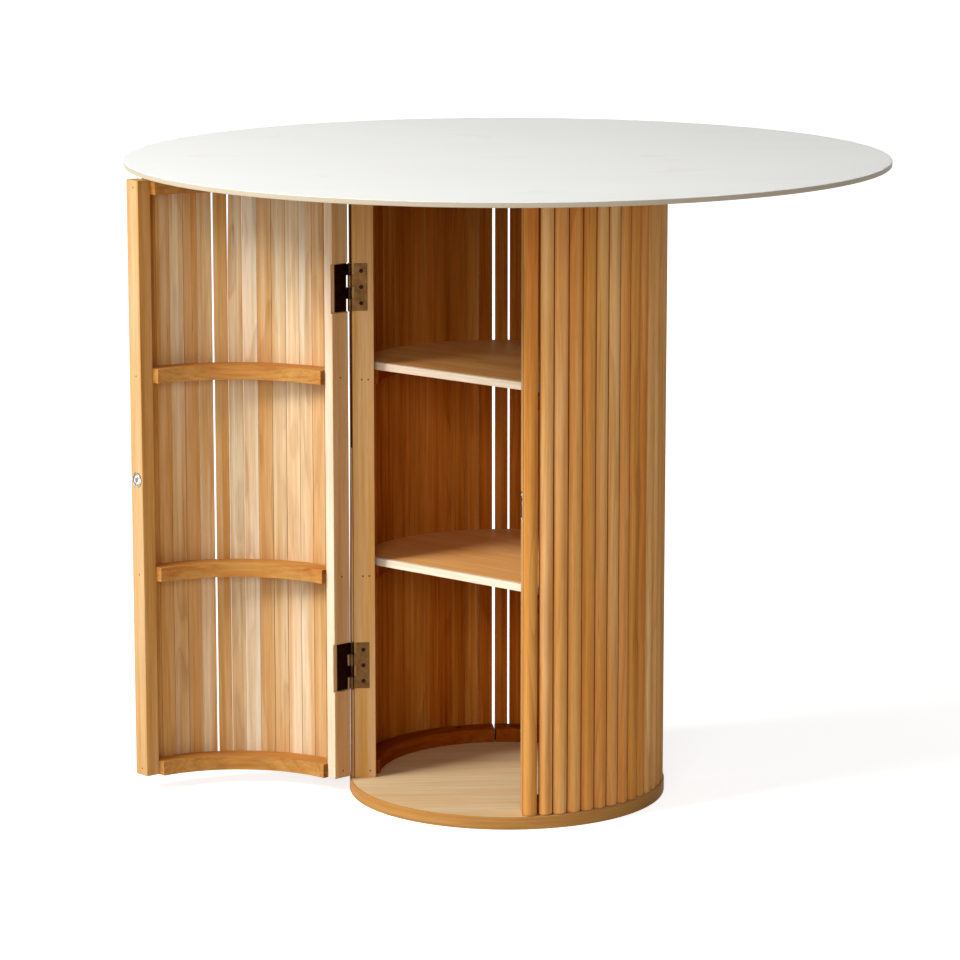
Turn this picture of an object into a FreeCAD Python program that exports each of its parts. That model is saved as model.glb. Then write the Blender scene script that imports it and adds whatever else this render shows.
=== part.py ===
"""Round kitchen table whose foot is a round storage cabinet with one curved door.

The cabinet's axis is Z, the floor is z = 0, and every size is in millimetres. The wall and the door are
four quarter panels of crowned battens: the door is one quarter, and it stands swung open on two butt
hinges. A piece is placed in a frame turned about the cabinet's axis, in which +X points outward and +Y
points counter-clockwise along the wall. A door piece has the same place as in the closed door, and is
then swung about the hinge pin.
"""
import FreeCAD, Part
import math
import os
import Sketcher

Vector = FreeCAD.Vector
Rule = Sketcher.Constraint

UP = Vector(0, 0, 1)
ACROSS = Vector(1, 0, 0)
ORIGIN = -1
START, END, CENTRE = 1, 2, 3
X_AXIS, Y_AXIS = -1, -2

SIZES = (
    ("overall_height", 766, "floor to the upper face of the slab"),
    ("top_diameter", 900, "round slab"),
    ("top_thickness", 6, "slab"),
    ("top_board_thickness", 18, "board under the slab, which the walls carry"),
    ("base_lip", 1.5, "base board and top board beyond the wall's crests"),
    ("base_thickness", 15, "base board"),
    ("latch_angle", 275.4, "direction of the doorway's latch side, from +X"),
    ("battens_per_panel", 16, "battens round each quarter of the wall"),
    ("crest_radius", 188.5, "cabinet axis to a batten's crest"),
    ("batten_thickness", 8, "crest to the flat back"),
    ("batten_gap", 0.4, "between the flat backs of two battens"),
    ("crown_height", 3.5, "crest above the batten's side edges"),
    ("cap_thickness", 3.8, "thin batten glued on the face of a post or a stile"),
    ("panel_joint", 2, "extra room where two quarter panels meet"),
    ("post_width", 17, "post, along the wall"),
    ("post_depth", 26.4, "post, towards the axis"),
    ("hinge_stile_width", 13.8, "door stile at the hinges, along the wall"),
    ("hinge_stile_depth", 24.6, "door stile at the hinges, towards the axis"),
    ("free_stile_width", 17.6, "door stile at the latch, along the wall"),
    ("free_stile_depth", 21.3, "door stile at the latch, towards the axis"),
    ("door_gap", 1.8, "post to stile, door closed"),
    ("door_clearance", 3, "door to the base board and to the top board"),
    ("ledger_depth", 26.5, "curved ledgers and door ribs, towards the axis"),
    ("ledger_height", 17, "curved ledgers and door ribs"),
    ("lower_rib_height", 265.7, "middle of the door's lower rib"),
    ("upper_rib_height", 506.2, "middle of the door's upper rib"),
    ("lower_shelf_top", 281.5, "upper face of the lower shelf"),
    ("upper_shelf_top", 519.5, "upper face of the upper shelf"),
    ("shelf_thickness", 9, "both shelves"),
    ("shelf_setback", 2.7, "shelves' straight front edge behind the posts' inner corners"),
    ("shelf_arris", 0.8, "rounding of the front edge"),
    ("fit_gap", 0.3, "between a ledger and a post, and a shelf and the wall"),
    ("open_angle", 142.5, "how far the door stands open"),
    ("pin_inset", 1.7, "hinge pin inside the wall's crests"),
    ("lower_hinge_height", 154.4, "middle of the lower hinge"),
    ("upper_hinge_height", 612.8, "middle of the upper hinge"),
    ("hinge_length", 56.3, "hinge, along the pin"),
    ("knuckles", 4, "knuckles on a hinge, shared by its two leaves"),
    ("knuckle_gap", 0.3, "between two knuckles"),
    ("barrel_radius", 2.5, "outside of a knuckle"),
    ("pin_radius", 1.2, "hinge pin"),
    ("pin_clearance", 0.08, "round the pin in its knuckles"),
    ("pin_head_radius", 2, "riveted ends of the pin"),
    ("pin_head_height", 0.8, "riveted ends of the pin"),
    ("leaf_thickness", 1.5, "hinge leaf"),
    ("leaf_reach", 21, "pin axis to the leaf's far edge"),
    ("leaf_edge", 5.2, "pin axis to the leaf's near edge between the knuckles"),
    ("leaf_fit", 0.2, "round the leaf in the post's mortise"),
    ("door_recess", 2.4, "depth of the stile's recess for its leaf"),
    ("recess_margin", 1.25, "above and below the hinge in the stile's recess"),
    ("barrel_fit", 0.6, "round the knuckles in the notched wood"),
    ("leaf_screw_inset", 13.7, "pin axis to the leaf's screws"),
    ("leaf_screw_pitch", 19.2, "between two screws of a leaf"),
    ("hinge_screw_head", 2.5, "radius"),
    ("hinge_screw_sink", 1.2, "depth of the countersunk head"),
    ("hinge_screw_shank", 1.3, "radius"),
    ("hinge_screw_length", 11, "hinge screws and the magnet's screw"),
    ("ledger_screw_head", 3.5, "radius"),
    ("ledger_screw_sink", 2, "depth of the countersunk head"),
    ("ledger_screw_shank", 1.9, "radius"),
    ("ledger_screw_length", 28, "through a ledger into a board"),
    ("ledger_screw_back", 8.5, "ledger screws to the ledger's outer face"),
    ("ledger_screw_inset", 15.3, "angle between a screw and its ledger's end"),
    ("post_screw_head", 4.2, "radius"),
    ("post_screw_sink", 2.4, "depth of the countersunk head"),
    ("post_screw_shank", 2.3, "radius"),
    ("post_screw_length", 38, "through a board into a post's end"),
    ("post_screw_recess", 0.5, "the head's depth below the board's face"),
    ("screw_gap", 0.05, "round a screw in its hole"),
    ("catch_height", 381, "middle of the magnetic catch"),
    ("magnet_radius", 8.25, "disc magnet in the free stile"),
    ("magnet_thickness", 5, "disc magnet"),
    ("magnet_proud", 0.7, "disc beyond the stile's edge"),
    ("strike_length", 34, "plate on the latch post, along Z"),
    ("strike_width", 12, "plate on the latch post"),
    ("strike_thickness", 0.8, "plate on the latch post"),
    ("strike_screw_pitch", 28.5, "between the plate's two screws"),
    ("strike_screw_head", 2.2, "radius"),
    ("strike_screw_rise", 0.6, "height of the pan head"),
    ("strike_screw_shank", 1.1, "radius"),
    ("strike_screw_length", 11, "below the head"),
)

DERIVED = (
    ("slab_bottom", "sizes.overall_height - sizes.top_thickness"),
    ("wall_top", "derived.slab_bottom - sizes.top_board_thickness"),
    ("wall_height", "derived.wall_top - sizes.base_thickness"),
    ("door_bottom", "sizes.base_thickness + sizes.door_clearance"),
    ("door_height", "derived.wall_height - 2 * sizes.door_clearance"),
    ("wall_radius", "sizes.crest_radius - sizes.batten_thickness"),
    ("corner_radius", "sizes.crest_radius - sizes.crown_height"),
    ("face_radius", "sizes.crest_radius - sizes.cap_thickness"),
    ("ledger_radius", "derived.wall_radius - sizes.ledger_depth"),
    ("base_radius", "sizes.crest_radius + sizes.base_lip"),
    ("pin_offset", "sizes.crest_radius - sizes.pin_inset"),
    ("joint_angle", "sizes.panel_joint / sizes.crest_radius * 180 / pi"),
    ("batten_angle", "(90 - derived.joint_angle) / sizes.battens_per_panel"),
    ("half_width", "derived.wall_radius * tan(derived.batten_angle / 2) - sizes.batten_gap / 2"),
    ("crown_radius", "(derived.half_width ^ 2 + sizes.crown_height ^ 2) / (2 * sizes.crown_height)"),
    ("first_angle", "(derived.joint_angle + derived.batten_angle) / 2"),
    ("half_gap", "sizes.door_gap / 2"),
    ("post_end", "derived.half_gap + sizes.post_width + sizes.fit_gap"),
    ("hinge_stile_end", "derived.half_gap + sizes.hinge_stile_width"),
    ("free_stile_end", "derived.half_gap + sizes.free_stile_width"),
    ("half_joint", "sizes.panel_joint / 2"),
    ("post_corner", "derived.face_radius - sizes.post_depth - derived.post_end * sin(derived.first_angle)"),
    ("shelf_front", "(derived.post_corner - derived.post_end) * sqrt(0.5) - sizes.shelf_setback"),
    ("shelf_radius", "derived.wall_radius - sizes.fit_gap"),
    ("screw_circle", "derived.wall_radius - sizes.ledger_screw_back"),
    ("catch_radius", "derived.face_radius - sizes.free_stile_depth / 2"),
    ("hinge_angle", "sizes.latch_angle - 90"),
    ("door_x", "derived.pin_offset * (cos(derived.hinge_angle) - cos(derived.hinge_angle - sizes.open_angle))"),
    ("door_y", "derived.pin_offset * (sin(derived.hinge_angle) - sin(derived.hinge_angle - sizes.open_angle))"),
    ("door_leaf_face", "derived.half_gap + sizes.door_recess - sizes.leaf_thickness"),
    ("knuckle_pitch", "sizes.hinge_length / sizes.knuckles"),
    ("hinge_notch", "sizes.hinge_length + 2 * sizes.recess_margin"),
)

# The quarter panels of the wall, counter-clockwise from the latch post, and the turn of each one's start.
PANELS = (("right", "sizes.latch_angle"), ("back", "sizes.latch_angle + 90"), ("left", "sizes.latch_angle + 180"))
LATCH = "sizes.latch_angle"
HINGE = "derived.hinge_angle"
DOOR_MIDDLE = "sizes.latch_angle - 45"

doc = FreeCAD.newDocument("round_cabinet_table")
blanks = {}
cutters = {}


def fill_sheet():
    """Writes the driving dimensions and the values worked out from them."""
    sheet = doc.addObject("Spreadsheet::Sheet", "sizes")
    for row, (name, size, note) in enumerate(SIZES, 1):
        sheet.set(f"A{row}", name)
        sheet.set(f"B{row}", str(size))
        sheet.set(f"C{row}", note)
        sheet.setAlias(f"B{row}", name)
    doc.recompute()
    derived = doc.addObject("App::VarSet", "derived")
    for name, formula in DERIVED:
        derived.addProperty("App::PropertyFloat", name, "Derived")
        derived.setExpression(name, formula)
        doc.recompute()


def value(formula):
    """Gives the number that a formula of the sheet's names stands for."""
    return float(doc.sizes.evalExpression(formula))


# Placing

def settle(piece, turn, x="0", y="0", z="0", on_door=False, spin="0"):
    """Stands a piece at x, y, z of a frame turned about the cabinet's axis, and spins it there."""
    angle = f"({turn} - sizes.open_angle)" if on_door else f"({turn})"
    start_x = "derived.door_x" if on_door else "0"
    start_y = "derived.door_y" if on_door else "0"
    piece.setExpression("Placement.Base.x", f"{start_x} + ({x}) * cos({angle}) - ({y}) * sin({angle})")
    piece.setExpression("Placement.Base.y", f"{start_y} + ({x}) * sin({angle}) + ({y}) * cos({angle})")
    piece.setExpression("Placement.Base.z", z)
    if spin is not None:
        piece.setExpression("Placement.Rotation.Angle", f"{angle} + {spin}")
    return piece


def shift(piece, x="0", y="0", z="0"):
    """Moves a piece of a leaf or a plate inside its own frame."""
    piece.setExpression("Placement.Base.x", x)
    piece.setExpression("Placement.Base.y", y)
    piece.setExpression("Placement.Base.z", z)
    return piece


# Sketches

def bind(sketch, rule, name, formula):
    """Adds a dimension to a sketch and ties it to a formula."""
    index = sketch.addConstraint(rule)
    sketch.renameConstraint(index, name)
    sketch.setExpression(f"Constraints.{name}", formula)


def new_sketch(name, body=None):
    """Starts a sketch on the ground plane, alone or in a body."""
    if body is None:
        return doc.addObject("Sketcher::SketchObject", name)
    sketch = body.newObject("Sketcher::SketchObject", name)
    ground = next(plane for plane in body.Origin.OriginFeatures if plane.Role == "XY_Plane")
    sketch.AttachmentSupport = [(ground, "")]
    sketch.MapMode = "FlatFace"
    return sketch


def pin_corner(sketch, line, index, x, y):
    """Dimensions the start of a line from the sketch's origin."""
    for formula, kind, axis in ((x, "DistanceX", Y_AXIS), (y, "DistanceY", X_AXIS)):
        if formula == "0":
            sketch.addConstraint(Rule("PointOnObject", line, START, axis))
        else:
            rule = Rule(kind, ORIGIN, START, line, START, value(formula))
            bind(sketch, rule, f"corner_{index}_{kind[-1].lower()}", formula)


def polygon(name, corners):
    """Draws a closed outline of straight lines, each corner a pair of formulas."""
    sketch = new_sketch(name)
    points = [Vector(value(x), value(y), 0) for x, y in corners]
    count = len(points)
    for index in range(count):
        sketch.addGeometry(Part.LineSegment(points[index], points[(index + 1) % count]))
    for index in range(count):
        sketch.addConstraint(Rule("Coincident", index, END, (index + 1) % count, START))
    for index, (x, y) in enumerate(corners):
        pin_corner(sketch, index, index, x, y)
    return sketch


def crowned_section(name, back, body=None):
    """Draws a batten's section: a flat back at a radius, two straight sides and a crowned face."""
    sketch = new_sketch(name, body)
    half = value("derived.half_width")
    corner = value("derived.corner_radius")
    crest = value("sizes.crest_radius")
    rear = value(back)
    sketch.addGeometry(Part.LineSegment(Vector(rear, -half, 0), Vector(corner, -half, 0)))
    sketch.addGeometry(Part.Arc(Vector(corner, -half, 0), Vector(crest, 0, 0), Vector(corner, half, 0)))
    sketch.addGeometry(Part.LineSegment(Vector(corner, half, 0), Vector(rear, half, 0)))
    sketch.addGeometry(Part.LineSegment(Vector(rear, half, 0), Vector(rear, -half, 0)))
    for first in range(4):
        sketch.addConstraint(Rule("Coincident", first, END, (first + 1) % 4, START))
    sketch.addConstraint(Rule("Horizontal", 0))
    sketch.addConstraint(Rule("Horizontal", 2))
    sketch.addConstraint(Rule("Vertical", 3))
    sketch.addConstraint(Rule("Symmetric", 0, END, 2, START, X_AXIS))
    bind(sketch, Rule("DistanceX", ORIGIN, START, 0, START, rear), "back", back)
    bind(sketch, Rule("DistanceX", ORIGIN, START, 0, END, corner), "side_end", "derived.corner_radius")
    bind(sketch, Rule("DistanceY", 0, END, 2, START, 2 * half), "width", "2 * derived.half_width")
    bind(sketch, Rule("Radius", 1, value("derived.crown_radius")), "crown", "derived.crown_radius")
    return sketch


def quarter_ring(name, inner, outer, start_gap, end_gap):
    """Draws a quarter ring whose ends stand clear of, and parallel to, the quarter's two edges."""
    sketch = new_sketch(name)
    radii = (value(outer), value(inner))
    first, last = value(start_gap), value(end_gap)
    for radius in radii:
        circle = Part.Circle(Vector(), UP, radius)
        angles = (math.asin(first / radius), math.pi / 2 - math.asin(last / radius))
        sketch.addGeometry(Part.ArcOfCircle(circle, *angles))
    ends = [[Vector(math.sqrt(r * r - first * first), first, 0) for r in radii],
            [Vector(last, math.sqrt(r * r - last * last), 0) for r in radii]]
    for outer_point, inner_point in ends:
        sketch.addGeometry(Part.LineSegment(inner_point, outer_point))
    for arc, place in ((0, END), (1, START)):
        sketch.addConstraint(Rule("Coincident", arc, CENTRE, ORIGIN, START))
        sketch.addConstraint(Rule("Coincident", 2, place, arc, START))
        sketch.addConstraint(Rule("Coincident", 3, place, arc, END))
    sketch.addConstraint(Rule("Horizontal", 2))
    sketch.addConstraint(Rule("Vertical", 3))
    bind(sketch, Rule("Radius", 0, radii[0]), "outer", outer)
    bind(sketch, Rule("Radius", 1, radii[1]), "inner", inner)
    bind(sketch, Rule("DistanceY", ORIGIN, START, 2, START, first), "start_gap", start_gap)
    bind(sketch, Rule("DistanceX", ORIGIN, START, 3, START, last), "end_gap", end_gap)
    return sketch


# Solids

def extrude(node, sketch, length):
    """Raises a sketch along Z."""
    solid = doc.addObject("Part::Extrusion", f"{node}_blank")
    solid.Base = sketch
    solid.DirMode = "Custom"
    solid.Dir = UP
    solid.Solid = True
    solid.setExpression("LengthFwd", length)
    return solid


def turn_solid(name, sketch):
    """Turns a half outline about the sketch's Y axis."""
    solid = doc.addObject("Part::Revolution", name)
    solid.Source = sketch
    solid.Axis = Vector(0, 1, 0)
    solid.Angle = 360
    solid.Solid = True
    return solid


def box(name, length, width, height):
    """Makes a box from three formulas."""
    solid = doc.addObject("Part::Box", name)
    solid.setExpression("Length", length)
    solid.setExpression("Width", width)
    solid.setExpression("Height", height)
    return solid


def cylinder(name, radius, height):
    """Makes an upright cylinder from two formulas."""
    solid = doc.addObject("Part::Cylinder", name)
    solid.setExpression("Radius", radius)
    solid.setExpression("Height", height)
    return solid


def fuse(name, pieces):
    """Joins pieces to one shape."""
    if len(pieces) == 1:
        return pieces[0]
    joined = doc.addObject("Part::MultiFuse", name)
    joined.Shapes = pieces
    joined.Refine = True
    return joined


def group(node, pieces):
    """Keeps separate solids in one node."""
    compound = doc.addObject("Part::Compound", f"{node}_group")
    compound.Links = pieces
    blanks[node] = compound


def cut_from(nodes, tool):
    """Lists a tool that is cut from each of the named pieces."""
    for node in nodes:
        cutters.setdefault(node, []).append(tool)


def machined(node, blank):
    """Cuts a blank with the tools that are listed for it."""
    tools = cutters.get(node)
    if not tools:
        return blank
    cut = doc.addObject("Part::Cut", f"{node}_cut")
    cut.Base = blank
    cut.Tool = fuse(f"{node}_tools", tools)
    return cut


# Boards and slab

def boards():
    """Base board, top board and the slab that lies on it."""
    for node, radius, thickness, height in (
            ("base_board", "derived.base_radius", "sizes.base_thickness", "0"),
            ("top_board", "derived.base_radius", "sizes.top_board_thickness", "derived.wall_top"),
            ("table_top", "sizes.top_diameter / 2", "sizes.top_thickness", "derived.slab_bottom")):
        blanks[node] = settle(cylinder(f"{node}_disc", radius, thickness), "0", z=height)


# Posts and stiles

def upright_section(name, depth, width, side):
    """Draws the section of a post or stile: its edge faces the doorway, its face is square to a batten."""
    near = "derived.half_gap"
    far = f"(derived.half_gap + {width})"
    corners = []
    for face, across in (("back", near), ("front", near), ("front", far), ("back", far)):
        radius = "derived.face_radius" if face == "front" else f"(derived.face_radius - {depth})"
        x = f"({radius} - {across} * sin(derived.first_angle)) / cos(derived.first_angle)"
        corners.append((x, f"{side} * {across}"))
    return polygon(name, corners)


def uprights():
    """The two posts of the cabinet and the two stiles of the door."""
    post = ("sizes.post_depth", "sizes.post_width")
    free_stile = ("sizes.free_stile_depth", "sizes.free_stile_width")
    hinge_stile = ("sizes.hinge_stile_depth", "sizes.hinge_stile_width")
    for node, (depth, width), side, turn, on_door in (
            ("latch_post", post, 1, LATCH, False), ("hinge_post", post, -1, HINGE, False),
            ("free_stile", free_stile, -1, LATCH, True), ("hinge_stile", hinge_stile, 1, HINGE, True)):
        section = upright_section(f"{node}_section", depth, width, side)
        solid = extrude(node, section, "derived.door_height" if on_door else "derived.wall_height")
        bottom = "derived.door_bottom" if on_door else "sizes.base_thickness"
        blanks[node] = settle(solid, turn, z=bottom, on_door=on_door)


# Battens

def batten_turn(panel_turn, number):
    """Gives the turn of a panel's batten, counted from its start."""
    return f"{panel_turn} + derived.first_angle + {number} * derived.batten_angle"


def batten_run(node, turn, count):
    """Makes evenly spaced full battens, the first one at the given turn."""
    body = doc.addObject("PartDesign::Body", f"{node}_run")
    pad = body.newObject("PartDesign::Pad", f"{node}_pad")
    pad.Profile = crowned_section(f"{node}_section", "derived.wall_radius", body)
    pad.setExpression("Length", "derived.wall_height")
    doc.recompute()
    pattern = body.newObject("PartDesign::PolarPattern", f"{node}_pattern")
    pattern.Originals = [pad]
    axis = next(line for line in body.Origin.OriginFeatures if line.Role == "Z_Axis")
    pattern.Axis = (axis, [""])
    pattern.Mode = "Spacing"
    pattern.setExpression("Occurrences", count)
    pattern.setExpression("Offset", "derived.batten_angle")
    body.Tip = pattern
    return settle(body, turn, z="sizes.base_thickness")


def wall_battens(cap):
    """The wall's battens: a quarter panel each, with a thin one on each post."""
    last = "sizes.battens_per_panel - 1"
    for side, turn in PANELS:
        node = f"wall_battens_{side}"
        whole = side == "back"
        start = batten_turn(turn, 1 if side == "right" else 0)
        run = batten_run(node, start, "sizes.battens_per_panel" if whole else last)
        if whole:
            blanks[node] = run
            continue
        thin = extrude(f"{side}_cap", cap, "derived.wall_height")
        settle(thin, batten_turn(turn, 0 if side == "right" else f"({last})"), z="sizes.base_thickness")
        group(node, [run, machined(node, thin)])


def door_battens(section, cap):
    """The door's battens, one node each, counted from the hinge side."""
    count = int(value("sizes.battens_per_panel"))
    for number in range(count):
        node = f"door_batten_{number + 1:02d}"
        profile = cap if number in (0, count - 1) else section
        solid = extrude(node, profile, "derived.door_height")
        blanks[node] = settle(solid, batten_turn(HINGE, number), z="derived.door_bottom", on_door=True)


# Ledgers, ribs and shelves

def ledgers():
    """Curved ledgers under the boards and the shelves, a quarter each."""
    joint, end = "derived.half_joint", "derived.post_end"
    plans = {"right": (end, joint), "back": (joint, joint), "left": (joint, end)}
    levels = {
        "bottom": "sizes.base_thickness",
        "lower": "sizes.lower_shelf_top - sizes.shelf_thickness - sizes.ledger_height",
        "upper": "sizes.upper_shelf_top - sizes.shelf_thickness - sizes.ledger_height",
        "top": "derived.wall_top - sizes.ledger_height",
    }
    for side, turn in PANELS:
        plan = quarter_ring(f"{side}_ledger_plan", "derived.ledger_radius", "derived.wall_radius", *plans[side])
        for level, height in levels.items():
            node = f"{level}_ledger_{side}"
            blanks[node] = settle(extrude(node, plan, "sizes.ledger_height"), turn, z=height)


def door_ribs():
    """Curved ribs between the door's stiles."""
    plan = quarter_ring("rib_plan", "derived.ledger_radius", "derived.wall_radius",
                        "derived.hinge_stile_end", "derived.free_stile_end")
    levels = {
        "bottom": "derived.door_bottom",
        "lower": "sizes.lower_rib_height - sizes.ledger_height / 2",
        "upper": "sizes.upper_rib_height - sizes.ledger_height / 2",
        "top": "derived.door_bottom + derived.door_height - sizes.ledger_height",
    }
    for level, height in levels.items():
        node = f"door_rib_{level}"
        blanks[node] = settle(extrude(node, plan, "sizes.ledger_height"), HINGE, z=height, on_door=True)


def shelf(node, top):
    """A round shelf cut straight across behind the doorway, its front edge rounded."""
    body = doc.addObject("PartDesign::Body", f"{node}_blank")
    sketch = new_sketch(f"{node}_plan", body)
    front, radius = value("derived.shelf_front"), value("derived.shelf_radius")
    half = math.sqrt(radius * radius - front * front)
    corner = math.atan2(half, front)
    sketch.addGeometry(Part.ArcOfCircle(Part.Circle(Vector(), UP, radius), corner, 2 * math.pi - corner))
    sketch.addGeometry(Part.LineSegment(Vector(front, -half, 0), Vector(front, half, 0)))
    sketch.addConstraint(Rule("Coincident", 0, CENTRE, ORIGIN, START))
    sketch.addConstraint(Rule("Coincident", 0, END, 1, START))
    sketch.addConstraint(Rule("Coincident", 1, END, 0, START))
    sketch.addConstraint(Rule("Vertical", 1))
    bind(sketch, Rule("Radius", 0, radius), "radius", "derived.shelf_radius")
    bind(sketch, Rule("DistanceX", ORIGIN, START, 1, START, front), "front", "derived.shelf_front")
    pad = body.newObject("PartDesign::Pad", f"{node}_pad")
    pad.Profile = sketch
    pad.setExpression("Length", "sizes.shelf_thickness")
    doc.recompute()
    edges = [f"Edge{number}" for number, edge in enumerate(pad.Shape.Edges, 1)
             if isinstance(edge.Curve, Part.Line) and abs(edge.tangentAt(0).z) < 0.5]
    rounding = body.newObject("PartDesign::Fillet", f"{node}_arris")
    rounding.Base = (pad, edges)
    rounding.setExpression("Radius", "sizes.shelf_arris")
    blanks[node] = settle(body, DOOR_MIDDLE, z=f"{top} - sizes.shelf_thickness")


# Screws

def screw_outline(kind, hole):
    """Draws half of a countersunk screw, head up at the origin, or of the hole that it needs."""
    room = "sizes.screw_gap" if hole else "0"
    head = f"sizes.{kind}_head + {room}"
    shank = f"sizes.{kind}_shank + {room}"
    sink = f"-sizes.{kind}_sink"
    tip = f"-sizes.{kind}_length"
    upper = [("0", "1"), (head, "1"), (head, "0")] if hole else [("0", "0"), (head, "0")]
    lower = [(shank, sink), (shank, tip), ("0", tip)]
    return polygon(f"{kind}_{'hole' if hole else 'outline'}", upper + lower)


def drive(name, outlines, nodes, facing, turn, x, y, z, on_door=False):
    """Makes one screw whose head faces along the wall or along Z, and its hole in the named pieces."""
    made = []
    for use, sketch in zip(("screw", "hole"), outlines):
        solid = turn_solid(f"{name}_{use}", sketch)
        if facing in ("up", "down"):
            tilt = 90 if facing == "up" else -90
            solid.Placement = FreeCAD.Placement(Vector(), FreeCAD.Rotation(ACROSS, tilt))
            settle(solid, turn, x, y, z, on_door, spin=None)
        else:
            settle(solid, turn, x, y, z, on_door, spin="0" if facing == "forward" else "180")
        made.append(solid)
    screw, hole = made
    cut_from(nodes, hole)
    return screw


def ledger_screws():
    """Upright screws that hold the bottom and top ledgers to their boards."""
    outlines = [screw_outline("ledger_screw", hole) for hole in (False, True)]
    levels = {
        "bottom": ("base_board", "up", "sizes.base_thickness + sizes.ledger_height"),
        "top": ("top_board", "down", "derived.wall_top - sizes.ledger_height"),
    }
    screws = []
    for level, (board, facing, height) in levels.items():
        for side, turn in PANELS:
            for end, inset in (("a", "sizes.ledger_screw_inset"), ("b", "90 - sizes.ledger_screw_inset")):
                name = f"{level}_{side}_{end}"
                screws.append(drive(name, outlines, (board, f"{level}_ledger_{side}"), facing,
                                    f"{turn} + {inset}", "derived.screw_circle", "0", height))
    group("ledger_screws", screws)


def post_screws():
    """Long screws through the boards into both ends of each post."""
    outlines = [screw_outline("post_screw", hole) for hole in (False, True)]
    x = "derived.face_radius - sizes.post_depth / 2"
    across = "(derived.half_gap + sizes.post_width / 2)"
    screws = []
    for post, turn, side in (("latch_post", LATCH, 1), ("hinge_post", HINGE, -1)):
        for board, facing, height in (
                ("base_board", "down", "sizes.post_screw_recess"),
                ("top_board", "up", "derived.slab_bottom - sizes.post_screw_recess")):
            name = f"{post}_{board}"
            screws.append(drive(name, outlines, (board, post), facing, turn, x, f"{side} * {across}", height))
    group("post_screws", screws)


# Hinges

def hinge_leaf(node, level, floor, rows, on_door):
    """Makes a leaf on the floor of its mortise, with knuckles on every other row of the barrel."""
    name = f"{level}_{'door' if on_door else 'cabinet'}"
    edge = "-sizes.leaf_edge"
    low = f"{floor} - sizes.leaf_thickness" if on_door else floor
    plate = box(f"{name}_plate", "sizes.leaf_reach - sizes.leaf_edge", "sizes.leaf_thickness",
                "sizes.hinge_length")
    pieces = [shift(plate, "-sizes.leaf_reach", low)]
    for row in rows:
        height = "derived.knuckle_pitch - sizes.knuckle_gap"
        bottom = f"{row} * derived.knuckle_pitch + sizes.knuckle_gap / 2"
        arm = box(f"{name}_arm_{row}", "sizes.leaf_edge", "sizes.leaf_thickness", height)
        barrel = cylinder(f"{name}_barrel_{row}", "sizes.barrel_radius", height)
        pieces += [shift(arm, edge, low, bottom), shift(barrel, z=bottom)]
    bore = cylinder(f"{name}_bore", "sizes.pin_radius + sizes.pin_clearance", "sizes.hinge_length")
    leaf = doc.addObject("Part::Cut", f"{name}_leaf")
    leaf.Base = fuse(f"{name}_body", pieces)
    leaf.Tool = bore
    centre = f"sizes.{level}_hinge_height - sizes.hinge_length / 2"
    blanks[node] = settle(leaf, HINGE, "derived.pin_offset", "0", centre, on_door)


def pin_outline():
    """Draws half of a hinge pin with a riveted head at each end."""
    shaft, head, rise = "sizes.pin_radius", "sizes.pin_head_radius", "sizes.pin_head_height"
    top = "sizes.hinge_length"
    return polygon("pin_outline", [
        ("0", f"-{rise}"), (head, f"-{rise}"), (head, "0"), (shaft, "0"),
        (shaft, top), (head, top), (head, f"{top} + {rise}"), ("0", f"{top} + {rise}")])


def hinge_pockets(level):
    """Cuts the post's mortise, the stile's recess and the notch round the barrel."""
    beyond = "sizes.barrel_radius + sizes.barrel_fit"
    middle = f"sizes.{level}_hinge_height"
    mortise = box(f"{level}_mortise", f"sizes.leaf_reach + sizes.leaf_fit + {beyond}",
                  "derived.half_gap + sizes.leaf_thickness", "sizes.hinge_length + 2 * sizes.leaf_fit")
    settle(mortise, HINGE, "derived.pin_offset - sizes.leaf_reach - sizes.leaf_fit",
           "-derived.half_gap - sizes.leaf_thickness", f"{middle} - sizes.hinge_length / 2 - sizes.leaf_fit")
    cut_from(("hinge_post", "wall_battens_left"), mortise)
    recess = box(f"{level}_recess", f"2 * sizes.hinge_stile_depth + {beyond}",
                 "derived.half_gap + sizes.door_recess", "derived.hinge_notch")
    settle(recess, HINGE, "derived.pin_offset - 2 * sizes.hinge_stile_depth", "0",
           f"{middle} - derived.hinge_notch / 2", on_door=True)
    cut_from(("hinge_stile", "door_batten_01"), recess)
    notch = cylinder(f"{level}_notch", beyond, "derived.hinge_notch")
    settle(notch, HINGE, "derived.pin_offset", "0", f"{middle} - derived.hinge_notch / 2")
    cut_from(("hinge_post", "wall_battens_left", "hinge_stile", "door_batten_01"), notch)


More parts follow.
